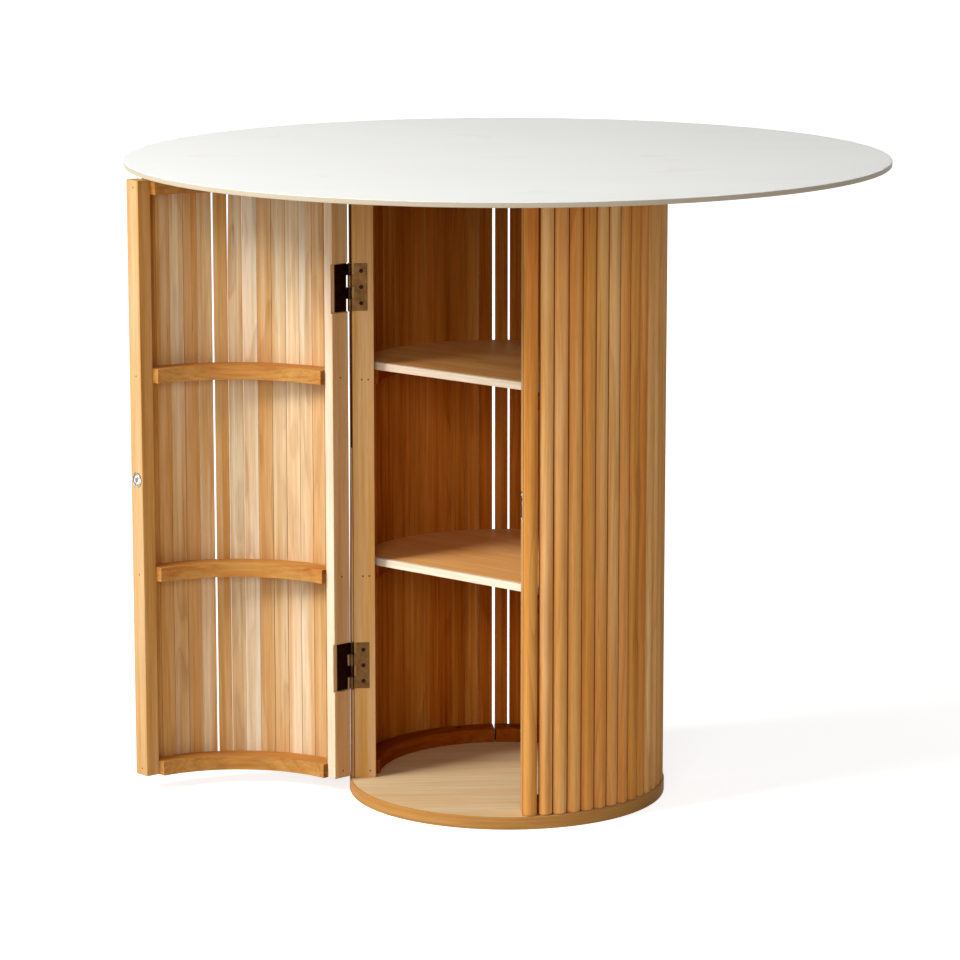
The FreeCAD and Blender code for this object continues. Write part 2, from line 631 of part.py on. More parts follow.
def hinges():
    """Two butt hinges with their pins and screws."""
    outlines = [screw_outline("hinge_screw", hole) for hole in (False, True)]
    pin_profile = pin_outline()
    door_floor = "derived.half_gap + sizes.door_recess"
    cabinet_floor = "-derived.half_gap - sizes.leaf_thickness"
    rows = range(int(value("sizes.knuckles")))
    inset = "derived.pin_offset - sizes.leaf_screw_inset"
    in_post, in_stile = [], []
    for level in ("lower", "upper"):
        cabinet_leaf, door_leaf = f"{level}_hinge_cabinet_leaf", f"{level}_hinge_door_leaf"
        hinge_leaf(cabinet_leaf, level, cabinet_floor, rows[0::2], False)
        hinge_leaf(door_leaf, level, door_floor, rows[1::2], True)
        pin = turn_solid(f"{level}_pin", pin_profile)
        pin.Placement = FreeCAD.Placement(Vector(), FreeCAD.Rotation(ACROSS, 90))
        settle(pin, HINGE, "derived.pin_offset", "0",
               f"sizes.{level}_hinge_height - sizes.hinge_length / 2", spin=None)
        blanks[f"{level}_hinge_pin"] = pin
        hinge_pockets(level)
        for step in (-1, 0, 1):
            height = f"sizes.{level}_hinge_height + {step} * sizes.leaf_screw_pitch"
            in_post.append(drive(f"{level}_post_{step + 1}", outlines, ("hinge_post", cabinet_leaf),
                                 "forward", HINGE, inset, "-derived.half_gap", height))
            in_stile.append(drive(f"{level}_stile_{step + 1}", outlines, ("hinge_stile", door_leaf),
                                  "backward", HINGE, inset, "derived.door_leaf_face", height, on_door=True))
    group("hinge_screws_cabinet", in_post)
    group("hinge_screws_door", in_stile)


# Magnetic catch

def magnet():
    """A disc magnet let into the free stile, with a screw through its middle."""
    face = "-derived.half_gap + sizes.magnet_proud"
    radius, depth = "sizes.magnet_radius", "-sizes.magnet_thickness"
    room = "sizes.screw_gap"
    disc_outline = polygon("magnet_outline", [("0", "0"), (radius, "0"), (radius, depth), ("0", depth)])
    seat_outline = polygon("magnet_seat", [
        ("0", "1"), (f"{radius} + {room}", "1"),
        (f"{radius} + {room}", f"{depth} - {room}"), ("0", f"{depth} - {room}")])
    place = (LATCH, "derived.catch_radius", face, "sizes.catch_height", True)
    blanks["catch_magnet"] = settle(turn_solid("magnet_disc", disc_outline), *place)
    cut_from(("free_stile",), settle(turn_solid("magnet_pocket", seat_outline), *place))
    outlines = (doc.hinge_screw_outline, doc.hinge_screw_hole)
    blanks["catch_magnet_screw"] = drive("magnet", outlines, ("catch_magnet", "free_stile"), "forward",
                                         LATCH, "derived.catch_radius", face, "sizes.catch_height", True)


def strike():
    """A thin plate on the latch post, held by two pan-head screws."""
    plate = box("strike_blank", "sizes.strike_width", "sizes.strike_thickness", "sizes.strike_length")
    face = "derived.half_gap - sizes.strike_thickness"
    blanks["strike_plate"] = settle(plate, LATCH, "derived.catch_radius - sizes.strike_width / 2", face,
                                    "sizes.catch_height - sizes.strike_length / 2")
    head, shank, rise = "sizes.strike_screw_head", "sizes.strike_screw_shank", "sizes.strike_screw_rise"
    tip = "-sizes.strike_screw_length"
    wide = f"{shank} + sizes.screw_gap"
    outlines = (
        polygon("strike_screw_outline", [("0", rise), (shank, rise), (head, "0"), (shank, "0"),
                                         (shank, tip), ("0", tip)]),
        polygon("strike_screw_hole", [("0", "0.5"), (wide, "0.5"), (wide, tip), ("0", tip)]))
    screws = []
    for end, side in (("lower", -1), ("upper", 1)):
        height = f"sizes.catch_height + {side} * sizes.strike_screw_pitch / 2"
        screws.append(drive(f"strike_{end}", outlines, ("strike_plate", "latch_post"), "backward",
                            LATCH, "derived.catch_radius", face, height))
    group("strike_screws", screws)


# Finish

def name_nodes():
    """Machines every blank and gives each finished piece its node's name."""
    pieces = {}
    for node, blank in blanks.items():
        piece = blank if node.startswith("wall_battens") else machined(node, blank)
        piece.Label = node
        pieces[node] = piece
    doc.recompute()
    return pieces


def check(pieces):
    """Stops on a failed object, a broken shape, or a cut that removed nothing."""
    for item in doc.Objects:
        if {"Invalid", "Error"} & set(item.State):
            raise RuntimeError(f"{item.Name} failed: {item.State}")
    for node, piece in pieces.items():
        if piece.Shape.isNull() or not piece.Shape.isValid():
            raise RuntimeError(f"{node} has no valid shape")
        if piece.TypeId == "Part::Cut" and piece.Shape.Volume > piece.Base.Shape.Volume - 1:
            raise RuntimeError(f"{node}: its tools cut nothing")


def export(pieces):
    """Writes one STEP file for each node."""
    os.makedirs("parts", exist_ok=True)
    for node, piece in pieces.items():
        piece.Shape.exportStep(f"parts/{node}.step")
        print(f"{node}: {len(piece.Shape.Solids)} solids, {piece.Shape.Volume / 1000:.1f} cm3")
    print(f"{len(pieces)} nodes")


fill_sheet()
boards()
uprights()
ledgers()
door_ribs()
shelf("lower_shelf", "sizes.lower_shelf_top")
shelf("upper_shelf", "sizes.upper_shelf_top")
ledger_screws()
post_screws()
hinges()
magnet()
strike()
batten_section = crowned_section("batten_section", "derived.wall_radius")
cap_section = crowned_section("cap_section", "derived.face_radius")
wall_battens(cap_section)
door_battens(batten_section, cap_section)
parts = name_nodes()
check(parts)
export(parts)
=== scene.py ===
"""Looks of a round kitchen table on a fluted storage cabinet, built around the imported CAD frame.

Sizes are in millimetres in the classes and become metres when a piece is placed. The cabinet's axis is Z
and the floor is z = 0. A piece of the wall is modelled in a frame turned about that axis, in which +X points
outward and +Y points counter-clockwise along the wall. A piece of the door is modelled as in the closed
door, and its place then swings it about the hinge pin to where the frame has it.

Wood carries two attributes on its face corners. "grain" is a point in the board that the piece was cut from,
in millimetres, with the fibres along its Z, and "tone" says how light or dark that board is.
"""

import logging
import math
import random
from dataclasses import dataclass, field, replace
from enum import Enum
from typing import Callable, Iterable

import bmesh
import bpy
from mathutils import Matrix, Vector

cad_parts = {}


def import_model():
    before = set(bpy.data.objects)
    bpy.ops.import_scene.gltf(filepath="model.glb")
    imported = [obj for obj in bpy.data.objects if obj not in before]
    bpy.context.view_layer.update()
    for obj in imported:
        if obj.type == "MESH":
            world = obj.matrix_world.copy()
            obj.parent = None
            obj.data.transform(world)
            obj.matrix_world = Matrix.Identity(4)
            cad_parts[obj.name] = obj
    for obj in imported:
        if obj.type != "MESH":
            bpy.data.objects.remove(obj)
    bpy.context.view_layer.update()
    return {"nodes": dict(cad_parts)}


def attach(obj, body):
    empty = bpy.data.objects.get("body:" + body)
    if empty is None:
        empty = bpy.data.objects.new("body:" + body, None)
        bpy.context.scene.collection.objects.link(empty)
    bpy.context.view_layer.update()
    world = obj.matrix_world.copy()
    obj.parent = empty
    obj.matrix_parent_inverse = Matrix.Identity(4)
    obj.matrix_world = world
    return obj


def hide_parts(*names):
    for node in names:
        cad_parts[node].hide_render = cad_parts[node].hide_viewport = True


LOG = logging.getLogger("kitchen_table")
MM = 0.001
# An edge is sharp from this turn, and a round end has more corners than this.
SHARP = math.radians(30)
CAP_CORNERS = 8
# How far a cutter reaches past what it cuts.
BEYOND = 5.0
# Inputs of a Mix node for colours, several of which have the same name.
SHARE, UNDER, OVER = 0, 6, 7

BMesh = bmesh.types.BMesh
Edge = bmesh.types.BMEdge
Face = bmesh.types.BMFace
Vert = bmesh.types.BMVert
Material = bpy.types.Material
Node = bpy.types.Node
Socket = bpy.types.NodeSocket
Tree = bpy.types.NodeTree
Colour = tuple[float, float, float, float]
Place = tuple[float, float, float]
Drive = tuple[float, Place, str]


class Tone(Enum):
    """Boards of the same timber, sorted by colour, as places on the wood's colour ramp."""

    CREAM = 0.06
    PALE = 0.2
    STRAW = 0.32
    HONEY = 0.42
    AMBER = 0.5
    ROSE = 0.6
    TAN = 0.78
    BROWN = 0.95


class Body(Enum):
    """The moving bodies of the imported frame."""

    CABINET = "cabinet"
    DOOR = "door"


def linear(hex_colour: str) -> Colour:
    """Turns an sRGB hex colour to linear RGBA.

    Args:
        hex_colour: Six hex digits.

    Returns:
        The linear red, green and blue, and an alpha of 1.
    """
    channels = [int(hex_colour[i : i + 2], 16) / 255 for i in (0, 2, 4)]
    red, green, blue = (c / 12.92 if c <= 0.04045 else ((c + 0.055) / 1.055) ** 2.4 for c in channels)
    return red, green, blue, 1.0


def grey(level: float) -> Colour:
    """Gives an opaque linear grey."""
    return level, level, level, 1.0


def turned(angle: float, axis: str = "Z") -> Matrix:
    """Gives the matrix of a turn by an angle in degrees."""
    return Matrix.Rotation(math.radians(angle), 4, axis)


# Mesh work


def extrude(bm: BMesh, face: Face, shift: Iterable[float]) -> tuple[Face, list[Vert]]:
    """Extrudes a face, and leaves nothing behind it inside a solid.

    Args:
        bm: The mesh.
        face: The face.
        shift: How far it moves.

    Returns:
        The face where it moved to, and its points.
    """
    made = bmesh.ops.extrude_face_region(bm, geom=[face, *face.edges])["geom"]
    verts = [item for item in made if isinstance(item, Vert)]
    bmesh.ops.translate(bm, vec=shift, verts=verts)
    return next(item for item in made if isinstance(item, Face)), verts


def face_out(bm: BMesh) -> None:
    """Points every face outwards."""
    bmesh.ops.recalc_face_normals(bm, faces=bm.faces[:])


def prism(corners: Iterable[tuple[float, float]], bottom: float, height: float) -> BMesh:
    """Raises a straight-sided outline to a closed solid.

    Args:
        corners: The outline's corners.
        bottom: Height of the lower face.
        height: Lower face to upper face.

    Returns:
        The solid.
    """
    bm = bmesh.new()
    outline = bm.faces.new([bm.verts.new((x, y, bottom)) for x, y in corners])
    extrude(bm, outline, (0, 0, height))
    face_out(bm)
    return bm


def drum(radius: float, bottom: float, height: float, sides: int) -> BMesh:
    """Raises a round outline about the Z axis to a closed solid.

    Args:
        radius: Outside radius.
        bottom: Height of the lower face.
        height: Lower face to upper face.
        sides: Number of sides.

    Returns:
        The solid.
    """
    bm = bmesh.new()
    middle = Matrix.Translation((0, 0, bottom))
    bmesh.ops.create_circle(bm, cap_ends=True, segments=sides, radius=radius, matrix=middle)
    (outline,) = bm.faces
    extrude(bm, outline, (0, 0, height))
    face_out(bm)
    return bm


def block(low: Iterable[float], high: Iterable[float]) -> BMesh:
    """Makes a box.

    Args:
        low: Its lowest corner.
        high: Its highest corner.

    Returns:
        The closed solid.
    """
    low, high = Vector(low), Vector(high)
    bm = bmesh.new()
    matrix = Matrix.Translation((low + high) / 2) @ Matrix.Diagonal((*(high - low), 1))
    bmesh.ops.create_cube(bm, size=1, matrix=matrix)
    return bm


def cut_away(bm: BMesh, point: Iterable[float], normal: Iterable[float]) -> None:
    """Saws off what lies in front of a plane and closes the cut.

    Args:
        bm: The closed solid.
        point: A point of the plane.
        normal: The side that is sawn off.
    """
    everything = bm.verts[:] + bm.edges[:] + bm.faces[:]
    cut = bmesh.ops.bisect_plane(bm, geom=everything, plane_co=point, plane_no=normal, clear_outer=True)
    bmesh.ops.edgeloop_fill(bm, edges=[item for item in cut["geom_cut"] if isinstance(item, Edge)])
    face_out(bm)


def ease(bm: BMesh, geom: list[Edge] | list[Vert], width: float, steps: int) -> None:
    """Rounds edges of a solid, or corners of an outline.

    Args:
        bm: The mesh.
        geom: The edges or corners.
        width: Width of the rounding.
        steps: Number of faces across it.
    """
    affect = "EDGES" if isinstance(geom[0], Edge) else "VERTICES"
    bmesh.ops.bevel(bm, geom=geom, offset=width, offset_type="OFFSET", segments=steps, profile=0.5,
                    affect=affect, material=-1, clamp_overlap=True)


def soften(bm: BMesh, width: float, steps: int = 2, limit: float = SHARP) -> None:
    """Rounds every edge of a solid that turns by more than a limit.

    Args:
        bm: The closed solid.
        width: Width of the rounding.
        steps: Number of faces across it.
        limit: Least turn, in radians.
    """
    sharp = [edge for edge in bm.edges if edge.is_manifold and edge.calc_face_angle(0) > limit]
    ease(bm, sharp, width, steps)


def inset(bm: BMesh, faces: list[Face], rings: Iterable[tuple[float, float]]) -> list[set[Face]]:
    """Sets rings into faces, from their rim inwards.

    Args:
        bm: The mesh.
        faces: The faces.
        rings: Width of each ring, and how far the face rises across it.

    Returns:
        The new faces of each ring.
    """
    made = []
    for width, rise in rings:
        before = set(bm.faces)
        bmesh.ops.inset_individual(bm, faces=faces, thickness=width, depth=rise, use_even_offset=True)
        made.append(set(bm.faces) - before)
    return made


def caps(bm: BMesh) -> list[Face]:
    """Gives the flat round ends of a solid."""
    return [face for face in bm.faces if len(face.verts) > CAP_CORNERS]


def carve(bm: BMesh, cutters: Iterable[BMesh]) -> BMesh:
    """Cuts solids out of a solid.

    Args:
        bm: The closed solid.
        cutters: What is cut out of it, in the same frame.

    Returns:
        The carved solid.
    """
    scene = bpy.context.scene.collection
    target = bpy.data.objects.new("carved", bpy.data.meshes.new("carved"))
    bm.to_mesh(target.data)
    scene.objects.link(target)
    items = [target]
    for cutter in cutters:
        tool = bpy.data.objects.new("cutter", bpy.data.meshes.new("cutter"))
        cutter.to_mesh(tool.data)
        cutter.free()
        scene.objects.link(tool)
        items.append(tool)
        modifier = target.modifiers.new("cut", "BOOLEAN")
        modifier.operation = "DIFFERENCE"
        modifier.solver = "EXACT"
        modifier.object = tool
    result = bpy.data.meshes.new_from_object(target.evaluated_get(bpy.context.evaluated_depsgraph_get()))
    bm.clear()
    bm.from_mesh(result)
    meshes = [result, *(item.data for item in items)]
    for item in items:
        bpy.data.objects.remove(item)
    for mesh in meshes:
        bpy.data.meshes.remove(mesh)
    return bm


# Wood grain


@dataclass(frozen=True)
class Board:
    """The board that a piece was cut from: its tone, and where the piece lay in it.

    A board without a tone of its own is of a middling one. A rim radius stands for wood that is bent round
    an edge, which has a tone of its own.
    """

    seed: str
    tone: float | None = None
    fibres: Place = (0.0, 0.0, 1.0)
    rim: float = 0.0
    rim_tone: float = 0.0

    def write(self, bm: BMesh, aside: Callable[[Face], float | None] = lambda face: None) -> None:
        """Writes the grain and tone of every face corner.

        Args:
            bm: The finished solid, before it is placed.
            aside: Gives the tone of a face that has another one, or None.
        """
        draw = random.Random(self.seed)
        tone = draw.uniform(0.44, 0.56) if self.tone is None else self.tone + draw.uniform(-0.03, 0.03)
        pith = Vector((draw.uniform(-14, 14), draw.uniform(22, 70), draw.uniform(0, 4000)))
        along = Vector(self.fibres).normalized()
        turn = along.rotation_difference(Vector((0, 0, 1))).to_matrix()
        grain = bm.loops.layers.float_vector.get("grain") or bm.loops.layers.float_vector.new("grain")
        shade = bm.loops.layers.float.get("tone") or bm.loops.layers.float.new("tone")
        for face in bm.faces:
            middle = face.calc_center_median()
            rim = self.rim and (abs(face.normal.z) < 0.5 or middle.to_2d().length > self.rim)
            other = self.rim_tone if rim else aside(face)
            start = math.atan2(middle.x, -middle.y)
            for loop in face.loops:
                place = loop.vert.co
                if rim:
                    angle = math.atan2(place.x, -place.y)
                    angle += math.tau * round((start - angle) / math.tau)
                    local = Vector((place.z, place.to_2d().length, angle * self.rim))
                else:
                    local = turn @ place
                loop[grain] = local + pith
                loop[shade] = tone if other is None else other


# Where the wall's pieces stand


@dataclass(frozen=True)
class Wall:
    """The round wall's own sizes, which place every piece of it."""

    latch: float = 275.4
    open_angle: float = 142.5
    pin_offset: float = 186.8
    crest: float = 188.5
    face: float = 184.7
    back: float = 180.5
    ring: float = 154.0
    floor: float = 15.0
    ceiling: float = 742.0
    door_floor: float = 18.0
    door_ceiling: float = 739.0
    half_gap: float = 0.9
    joint: float = 2.0
    battens: int = 16

    @property
    def hinge(self) -> float:
        """Direction of the hinge side, in degrees."""
        return self.latch - 90

    @property
    def step(self) -> float:
        """Angle between two battens, in degrees."""
        return (90 - math.degrees(self.joint / self.crest)) / self.battens

    @property
    def first(self) -> float:
        """Angle from a panel's start to its first batten's middle, in degrees."""
        return (math.degrees(self.joint / self.crest) + self.step) / 2

    def levels(self, body: Body) -> tuple[float, float]:
        """Gives the heights of the lower and the upper ends of a body's uprights and battens."""
        return (self.door_floor, self.door_ceiling) if body is Body.DOOR else (self.floor, self.ceiling)

    def place(self, turn: float, body: Body = Body.CABINET) -> Matrix:
        """Gives the matrix from a turned frame in millimetres to the row frame in metres.

        Args:
            turn: Direction of the frame's X axis with the door closed, in degrees.
            body: The body that the piece rides on.

        Returns:
            The matrix.
        """
        swing, start = 0.0, Vector()
        if body is Body.DOOR:
            swing = -self.open_angle
            pin = turned(self.hinge) @ Vector((self.pin_offset, 0, 0))
            start = pin - turned(swing) @ pin
        return Matrix.Scale(MM, 4) @ Matrix.Translation(start) @ turned(turn + swing)


WALL = Wall()


class Piece:
    """One finished piece: solids with their finishes, joined in one mesh in the row frame."""

    def __init__(self, name: str, body: Body, slot: str, *replaced: str) -> None:
        """Starts an empty piece.

        Args:
            name: Name of the piece.
            body: The body that it rides on.
            slot: The record's material slot for the piece; not used.
            replaced: CAD nodes that it stands for.
        """
        self.name = name
        self.body = body
        self.slot = slot
        self.replaced = replaced
        self.mesh = bmesh.new()
        self.finishes: list[Material] = []

    def add(self, bm: BMesh, place: Matrix, *finishes: Material) -> "Piece":
        """Places a solid in the piece and frees it.

        Args:
            bm: The solid, whose faces' material index is a number in the finishes.
            place: Matrix from the solid's frame to the row frame.
            finishes: Materials of its faces.

        Returns:
            The piece.
        """
        self.finishes += [finish for finish in finishes if finish not in self.finishes]
        for face in bm.faces:
            face.material_index = self.finishes.index(finishes[face.material_index])
        bm.transform(place)
        part = bpy.data.meshes.new("part")
        bm.to_mesh(part)
        bm.free()
        self.mesh.from_mesh(part)
        bpy.data.meshes.remove(part)
        return self

    def finish(self) -> None:
        """Turns the mesh to an object that rides its body."""
        data = bpy.data.meshes.new(self.name)
        for face in self.mesh.faces:
            face.smooth = True
        self.mesh.to_mesh(data)
        self.mesh.free()
        data.set_sharp_from_angle(angle=SHARP)
        for material in self.finishes:
            data.materials.append(material)
        piece = bpy.data.objects.new(self.name, data)
        bpy.context.scene.collection.objects.link(piece)
        piece.modifiers.new("even_shading", "WEIGHTED_NORMAL").keep_sharp = True
        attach(piece, self.body.value)
        if self.replaced:
            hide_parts(*self.replaced)
        LOG.info("%s: %d faces on %s", self.name, len(data.polygons), self.body.value)


# Finishes


def connect(tree: Tree, node: Node, inputs: dict) -> None:
    """Sets or links a node's inputs.

    Args:
        tree: The node tree.
        node: The node.
        inputs: A value, a socket, or a node whose first output in use is meant, for each input.
    """
    for key, source in inputs.items():
        if isinstance(source, Node):
            source = next(output for output in source.outputs if output.enabled)
        if isinstance(source, Socket):
            tree.links.new(source, node.inputs[key])
        else:
            node.inputs[key].default_value = source


def add_node(tree: Tree, kind: str, inputs: dict | None = None, **settings: object) -> Node:
    """Adds a shader node with its settings and links.

    Args:
        tree: The node tree.
        kind: Type name of the node, without the ShaderNode before it.
        inputs: What each input gets, as in connect.
        settings: The node's own properties.

    Returns:
        The node.
    """
    node = tree.nodes.new(f"ShaderNode{kind}")
    for name, setting in settings.items():
        setattr(node, name, setting)
    connect(tree, node, inputs or {})
    return node


def set_ramp(node: Node, stops: Iterable[tuple[float, Colour]], mode: str = "LINEAR") -> None:
    """Fills a colour ramp.

    Args:
        node: The ColorRamp node.
        stops: Position and colour of each stop, in order.
        mode: The ramp's interpolation.
    """
    ramp = node.color_ramp
    ramp.interpolation = mode
    while len(ramp.elements) > 1:
        ramp.elements.remove(ramp.elements[-1])
    for number, (position, colour) in enumerate(stops):
        element = ramp.elements[0] if number == 0 else ramp.elements.new(position)
        element.position = position
        element.color = colour


def start_material(name: str) -> tuple[Material, Tree, Node]:
    """Makes a material with an empty Principled shader.

    Args:
        name: Name of the finish.

    Returns:
        The material, its tree and its shader node.
    """
    material = bpy.data.materials.new(name)
    material.use_nodes = True
    return material, material.node_tree, material.node_tree.nodes["Principled BSDF"]


# Ramps of alder, from its palest boards to its darkest.
HONEYED = ("FFE9BF", "F6CD93", "E9AF68", "DD9849", "BF7831", "874D1A")
PALE = ("F0E2CA", "E2CAA4", "D6AE7C", "CB9652", "B07637", "7C4C1E")
# Painted shade and bounce light: a darker, deeper copy of the ramp for the cabinet's inside
INSIDE_SHADE = ("EAC18B", "DAA259", "C68032", "B16619", "93490D", "642B06")
VENEER = ("E4CFA9", "D7B582", "C8985C", "B88342", "9E632A", "764315")
# Painted shade and bounce light: a deeper copy of the veneer ramp for the shelves
INSIDE_SHADE_VENEER = ("F3C88C", "E6AF6B", "D6934B", "C57F35", "A96021", "7E410F")


@dataclass(frozen=True)
class LacqueredWood:
    """Alder, planed, sanded and sprayed with a clear satin lacquer.

    Alder is diffuse-porous: its annual rings are soft lines with no open pores, its colour wanders from cream
    over honey to rose within a board, and gum leaves a few dark amber streaks.
    """

    name: str
    ramp: tuple[str, ...] = HONEYED
    rose: str = "FCEADF"
    late_wood: str = "A06A34"
    gum: str = "7A3A10"
    ring_mm: float = 5.5
    ring_share: float = 0.3
    streak_mm: float = 6.0
    streak_length_mm: float = 300.0
    streak_share: float = 0.4
    fibre_mm: float = 1.3
    gum_share: float = 0.7
    roughness: float = 0.46
    gloss: float = 0.02

    def make(self) -> Material:
        """Builds the material.

        Returns:
            The material.
        """
        material, tree, shader = start_material(self.name)
        grain = add_node(tree, "Attribute", attribute_name="grain").outputs["Vector"]
        tone = add_node(tree, "Attribute", attribute_name="tone").outputs["Fac"]

        # Noise by the size of its spots in millimetres across and along the fibres, detail and roughness.
        spots = {"sway": (46, 330, 2, 0.5), "season": (16, 420, 2, 0.5), "rose": (24, 900, 1, 0.5),
                 "streak": (self.streak_mm, self.streak_length_mm, 2, 0.5),
                 "thread": (self.streak_mm / 3, 140, 2, 0.5), "drift": (30, 520, 2, 0.5),
                 "fibre": (self.fibre_mm, 38, 2, 0.6), "gum": (5, 110, 2, 0.6)}
        noise = {}
        for name, (across, along, detail, rough) in spots.items():
            point = add_node(tree, "VectorMath", {0: grain, 1: (1 / across, 1 / across, 1 / along)},
                             operation="MULTIPLY")
            noise[name] = add_node(tree, "TexNoise", {"Vector": point, "Scale": 1.0, "Detail": detail,
                                                      "Roughness": rough})

        # The pith wanders, so the rings run in long waves and flame-like arches.
        wander = add_node(tree, "VectorMath", {0: noise["sway"].outputs["Color"], 1: (0.5, 0.5, 0.5)},
                          operation="SUBTRACT")
        bent = add_node(tree, "VectorMath", {0: wander, 1: (34.0, 34.0, 0.0), 2: grain},
                        operation="MULTIPLY_ADD")
        flat = add_node(tree, "VectorMath", {0: bent, 1: (1.0, 1.0, 0.0)}, operation="MULTIPLY")
        reach = add_node(tree, "VectorMath", {0: flat}, operation="LENGTH")
        years = add_node(tree, "Math", {0: reach, 1: 1 / self.ring_mm}, operation="MULTIPLY")
        year = add_node(tree, "Math", {0: years}, operation="FRACT")
        ring = add_node(tree, "ValToRGB", {0: year})
        set_ramp(ring, [(0.0, grey(0.55)), (0.1, grey(0.0)), (0.55, grey(0.12)), (0.86, grey(0.8)),
                        (0.97, grey(1.0))], "EASE")
        season = add_node(tree, "MapRange", {"Value": noise["season"], "From Min": 0.35, "From Max": 0.68,
                                             "To Min": 0.1, "To Max": 1.0})
        late = add_node(tree, "Math", {0: ring, 1: season}, operation="MULTIPLY")

        # Colour wanders along the ramp in streaks.
        level = tone
        for name, share in (("streak", 1.5), ("thread", 0.7), ("drift", 1.4)):
            wave = add_node(tree, "Math", {0: noise[name], 1: 0.5}, operation="SUBTRACT")
            rise = add_node(tree, "Math", {0: wave, 1: self.streak_share * share}, operation="MULTIPLY")
            level = add_node(tree, "Math", {0: level, 1: rise}, operation="ADD")
        painted = add_node(tree, "ValToRGB", {0: level})
        last = len(self.ramp) - 1
        set_ramp(painted, [(number / last, linear(value)) for number, value in enumerate(self.ramp)])

        # Rose patches, late wood, fibres and gum lie over it in that order.
        rose = add_node(tree, "MapRange", {"Value": noise["rose"], "From Min": 0.45, "From Max": 0.65})
        late_share = add_node(tree, "Math", {0: late, 1: self.ring_share}, operation="MULTIPLY")
        fibre = add_node(tree, "MapRange", {"Value": noise["fibre"], "From Min": 0.3, "From Max": 0.7,
                                            "To Min": 0.9, "To Max": 1.04})
        gum = add_node(tree, "MapRange", {"Value": noise["gum"], "From Min": 0.7, "From Max": 0.8,
                                          "To Max": self.gum_share})
        for share, over, blend in ((rose, linear(self.rose), "MULTIPLY"),
                                   (late_share, linear(self.late_wood), "MULTIPLY"),
                                   (1.0, fibre, "MULTIPLY"), (gum, linear(self.gum), "MIX")):
            painted = add_node(tree, "Mix", {SHARE: share, UNDER: painted, OVER: over}, data_type="RGBA",
                               blend_type=blend)
        rough = add_node(tree, "MapRange", {"Value": noise["fibre"], "To Min": self.roughness - 0.06,
                                            "To Max": self.roughness + 0.1})
        relief = add_node(tree, "Math", {0: late, 1: -0.4, 2: noise["fibre"]}, operation="MULTIPLY_ADD")
        bump = add_node(tree, "Bump", {"Height": relief, "Strength": 0.35, "Distance": 0.0002})
        connect(tree, shader, {"Base Color": painted, "Roughness": rough, "Normal": bump,
                               "Specular IOR Level": self.gloss})
        return material


@dataclass(frozen=True)
class GlazedStone:
    """Sintered stone, pressed, fired and silk-glazed: matt white with faint warm grey clouds and veins."""

    name: str
    face: str = "ECECE9"
    cloud: str = "E6E5E1"
    vein: str = "DAD6CE"
    gloss: float = 0.005

    def make(self) -> Material:
        """Builds the material.

        Returns:
            The material.
        """
        material, tree, shader = start_material(self.name)
        place = add_node(tree, "TexCoord").outputs["Object"]
        # Clouds are 280 by 90 mm, and the veins run mostly along X, 180 mm apart.
        point = add_node(tree, "Mapping", {"Vector": place, "Rotation": (0, 0, math.radians(14)),
                                           "Scale": (1.6, 5.0, 1.0)})
        cloud = add_node(tree, "TexNoise", {"Vector": point, "Scale": 2.2, "Detail": 5, "Roughness": 0.55})
        vein = add_node(tree, "TexNoise", {"Vector": point, "Scale": 1.1, "Detail": 6, "Roughness": 0.5,
                                           "Distortion": 0.5})
        line = add_node(tree, "ValToRGB", {0: vein})
        set_ramp(line, [(0.0, grey(0)), (0.488, grey(0)), (0.5, grey(1)), (0.512, grey(0))])
        rare = add_node(tree, "TexNoise", {"Vector": point, "Scale": 3.1, "Detail": 1})
        shown = add_node(tree, "MapRange", {"Value": rare, "From Min": 0.54, "From Max": 0.7, "To Max": 0.5})
        share = add_node(tree, "Math", {0: line, 1: shown}, operation="MULTIPLY")
        base = add_node(tree, "Mix", {SHARE: cloud, UNDER: linear(self.face), OVER: linear(self.cloud)},
                        data_type="RGBA")
        colour = add_node(tree, "Mix", {SHARE: share, UNDER: base, OVER: linear(self.vein)},
                          data_type="RGBA")
        # The glaze is pebbled at 1.1 mm.
        grit = add_node(tree, "TexNoise", {"Vector": place, "Scale": 900.0, "Detail": 2})
        rough = add_node(tree, "MapRange", {"Value": grit, "To Min": 0.4, "To Max": 0.52})
        bump = add_node(tree, "Bump", {"Height": grit, "Strength": 0.1, "Distance": 0.0002})
        connect(tree, shader, {"Base Color": colour, "Roughness": rough, "Normal": bump,
                               "Specular IOR Level": self.gloss})
        return material


@dataclass(frozen=True)
class StoneBody:
    """The stone's unglazed body, ground at the slab's edge: matt taupe with fine grit, made darker still as
    painted shade.
    """

    name: str
    light: str = "C2B49C"
    dark: str = "B0A28A"

    def make(self) -> Material:
        """Builds the material.

        Returns:
            The material.
        """
        material, tree, shader = start_material(self.name)
        place = add_node(tree, "TexCoord").outputs["Object"]
        # Grit is 0.4 mm across, drawn at 1.5 mm so that it shows.
        grit = add_node(tree, "TexNoise", {"Vector": place, "Scale": 650.0, "Detail": 3, "Roughness": 0.6})
        colour = add_node(tree, "Mix", {SHARE: grit, UNDER: linear(self.light), OVER: linear(self.dark)},
                          data_type="RGBA")
        bump = add_node(tree, "Bump", {"Height": grit, "Strength": 0.2, "Distance": 0.0002})
        connect(tree, shader, {"Base Color": colour, "Roughness": 0.55, "Normal": bump})
        return material


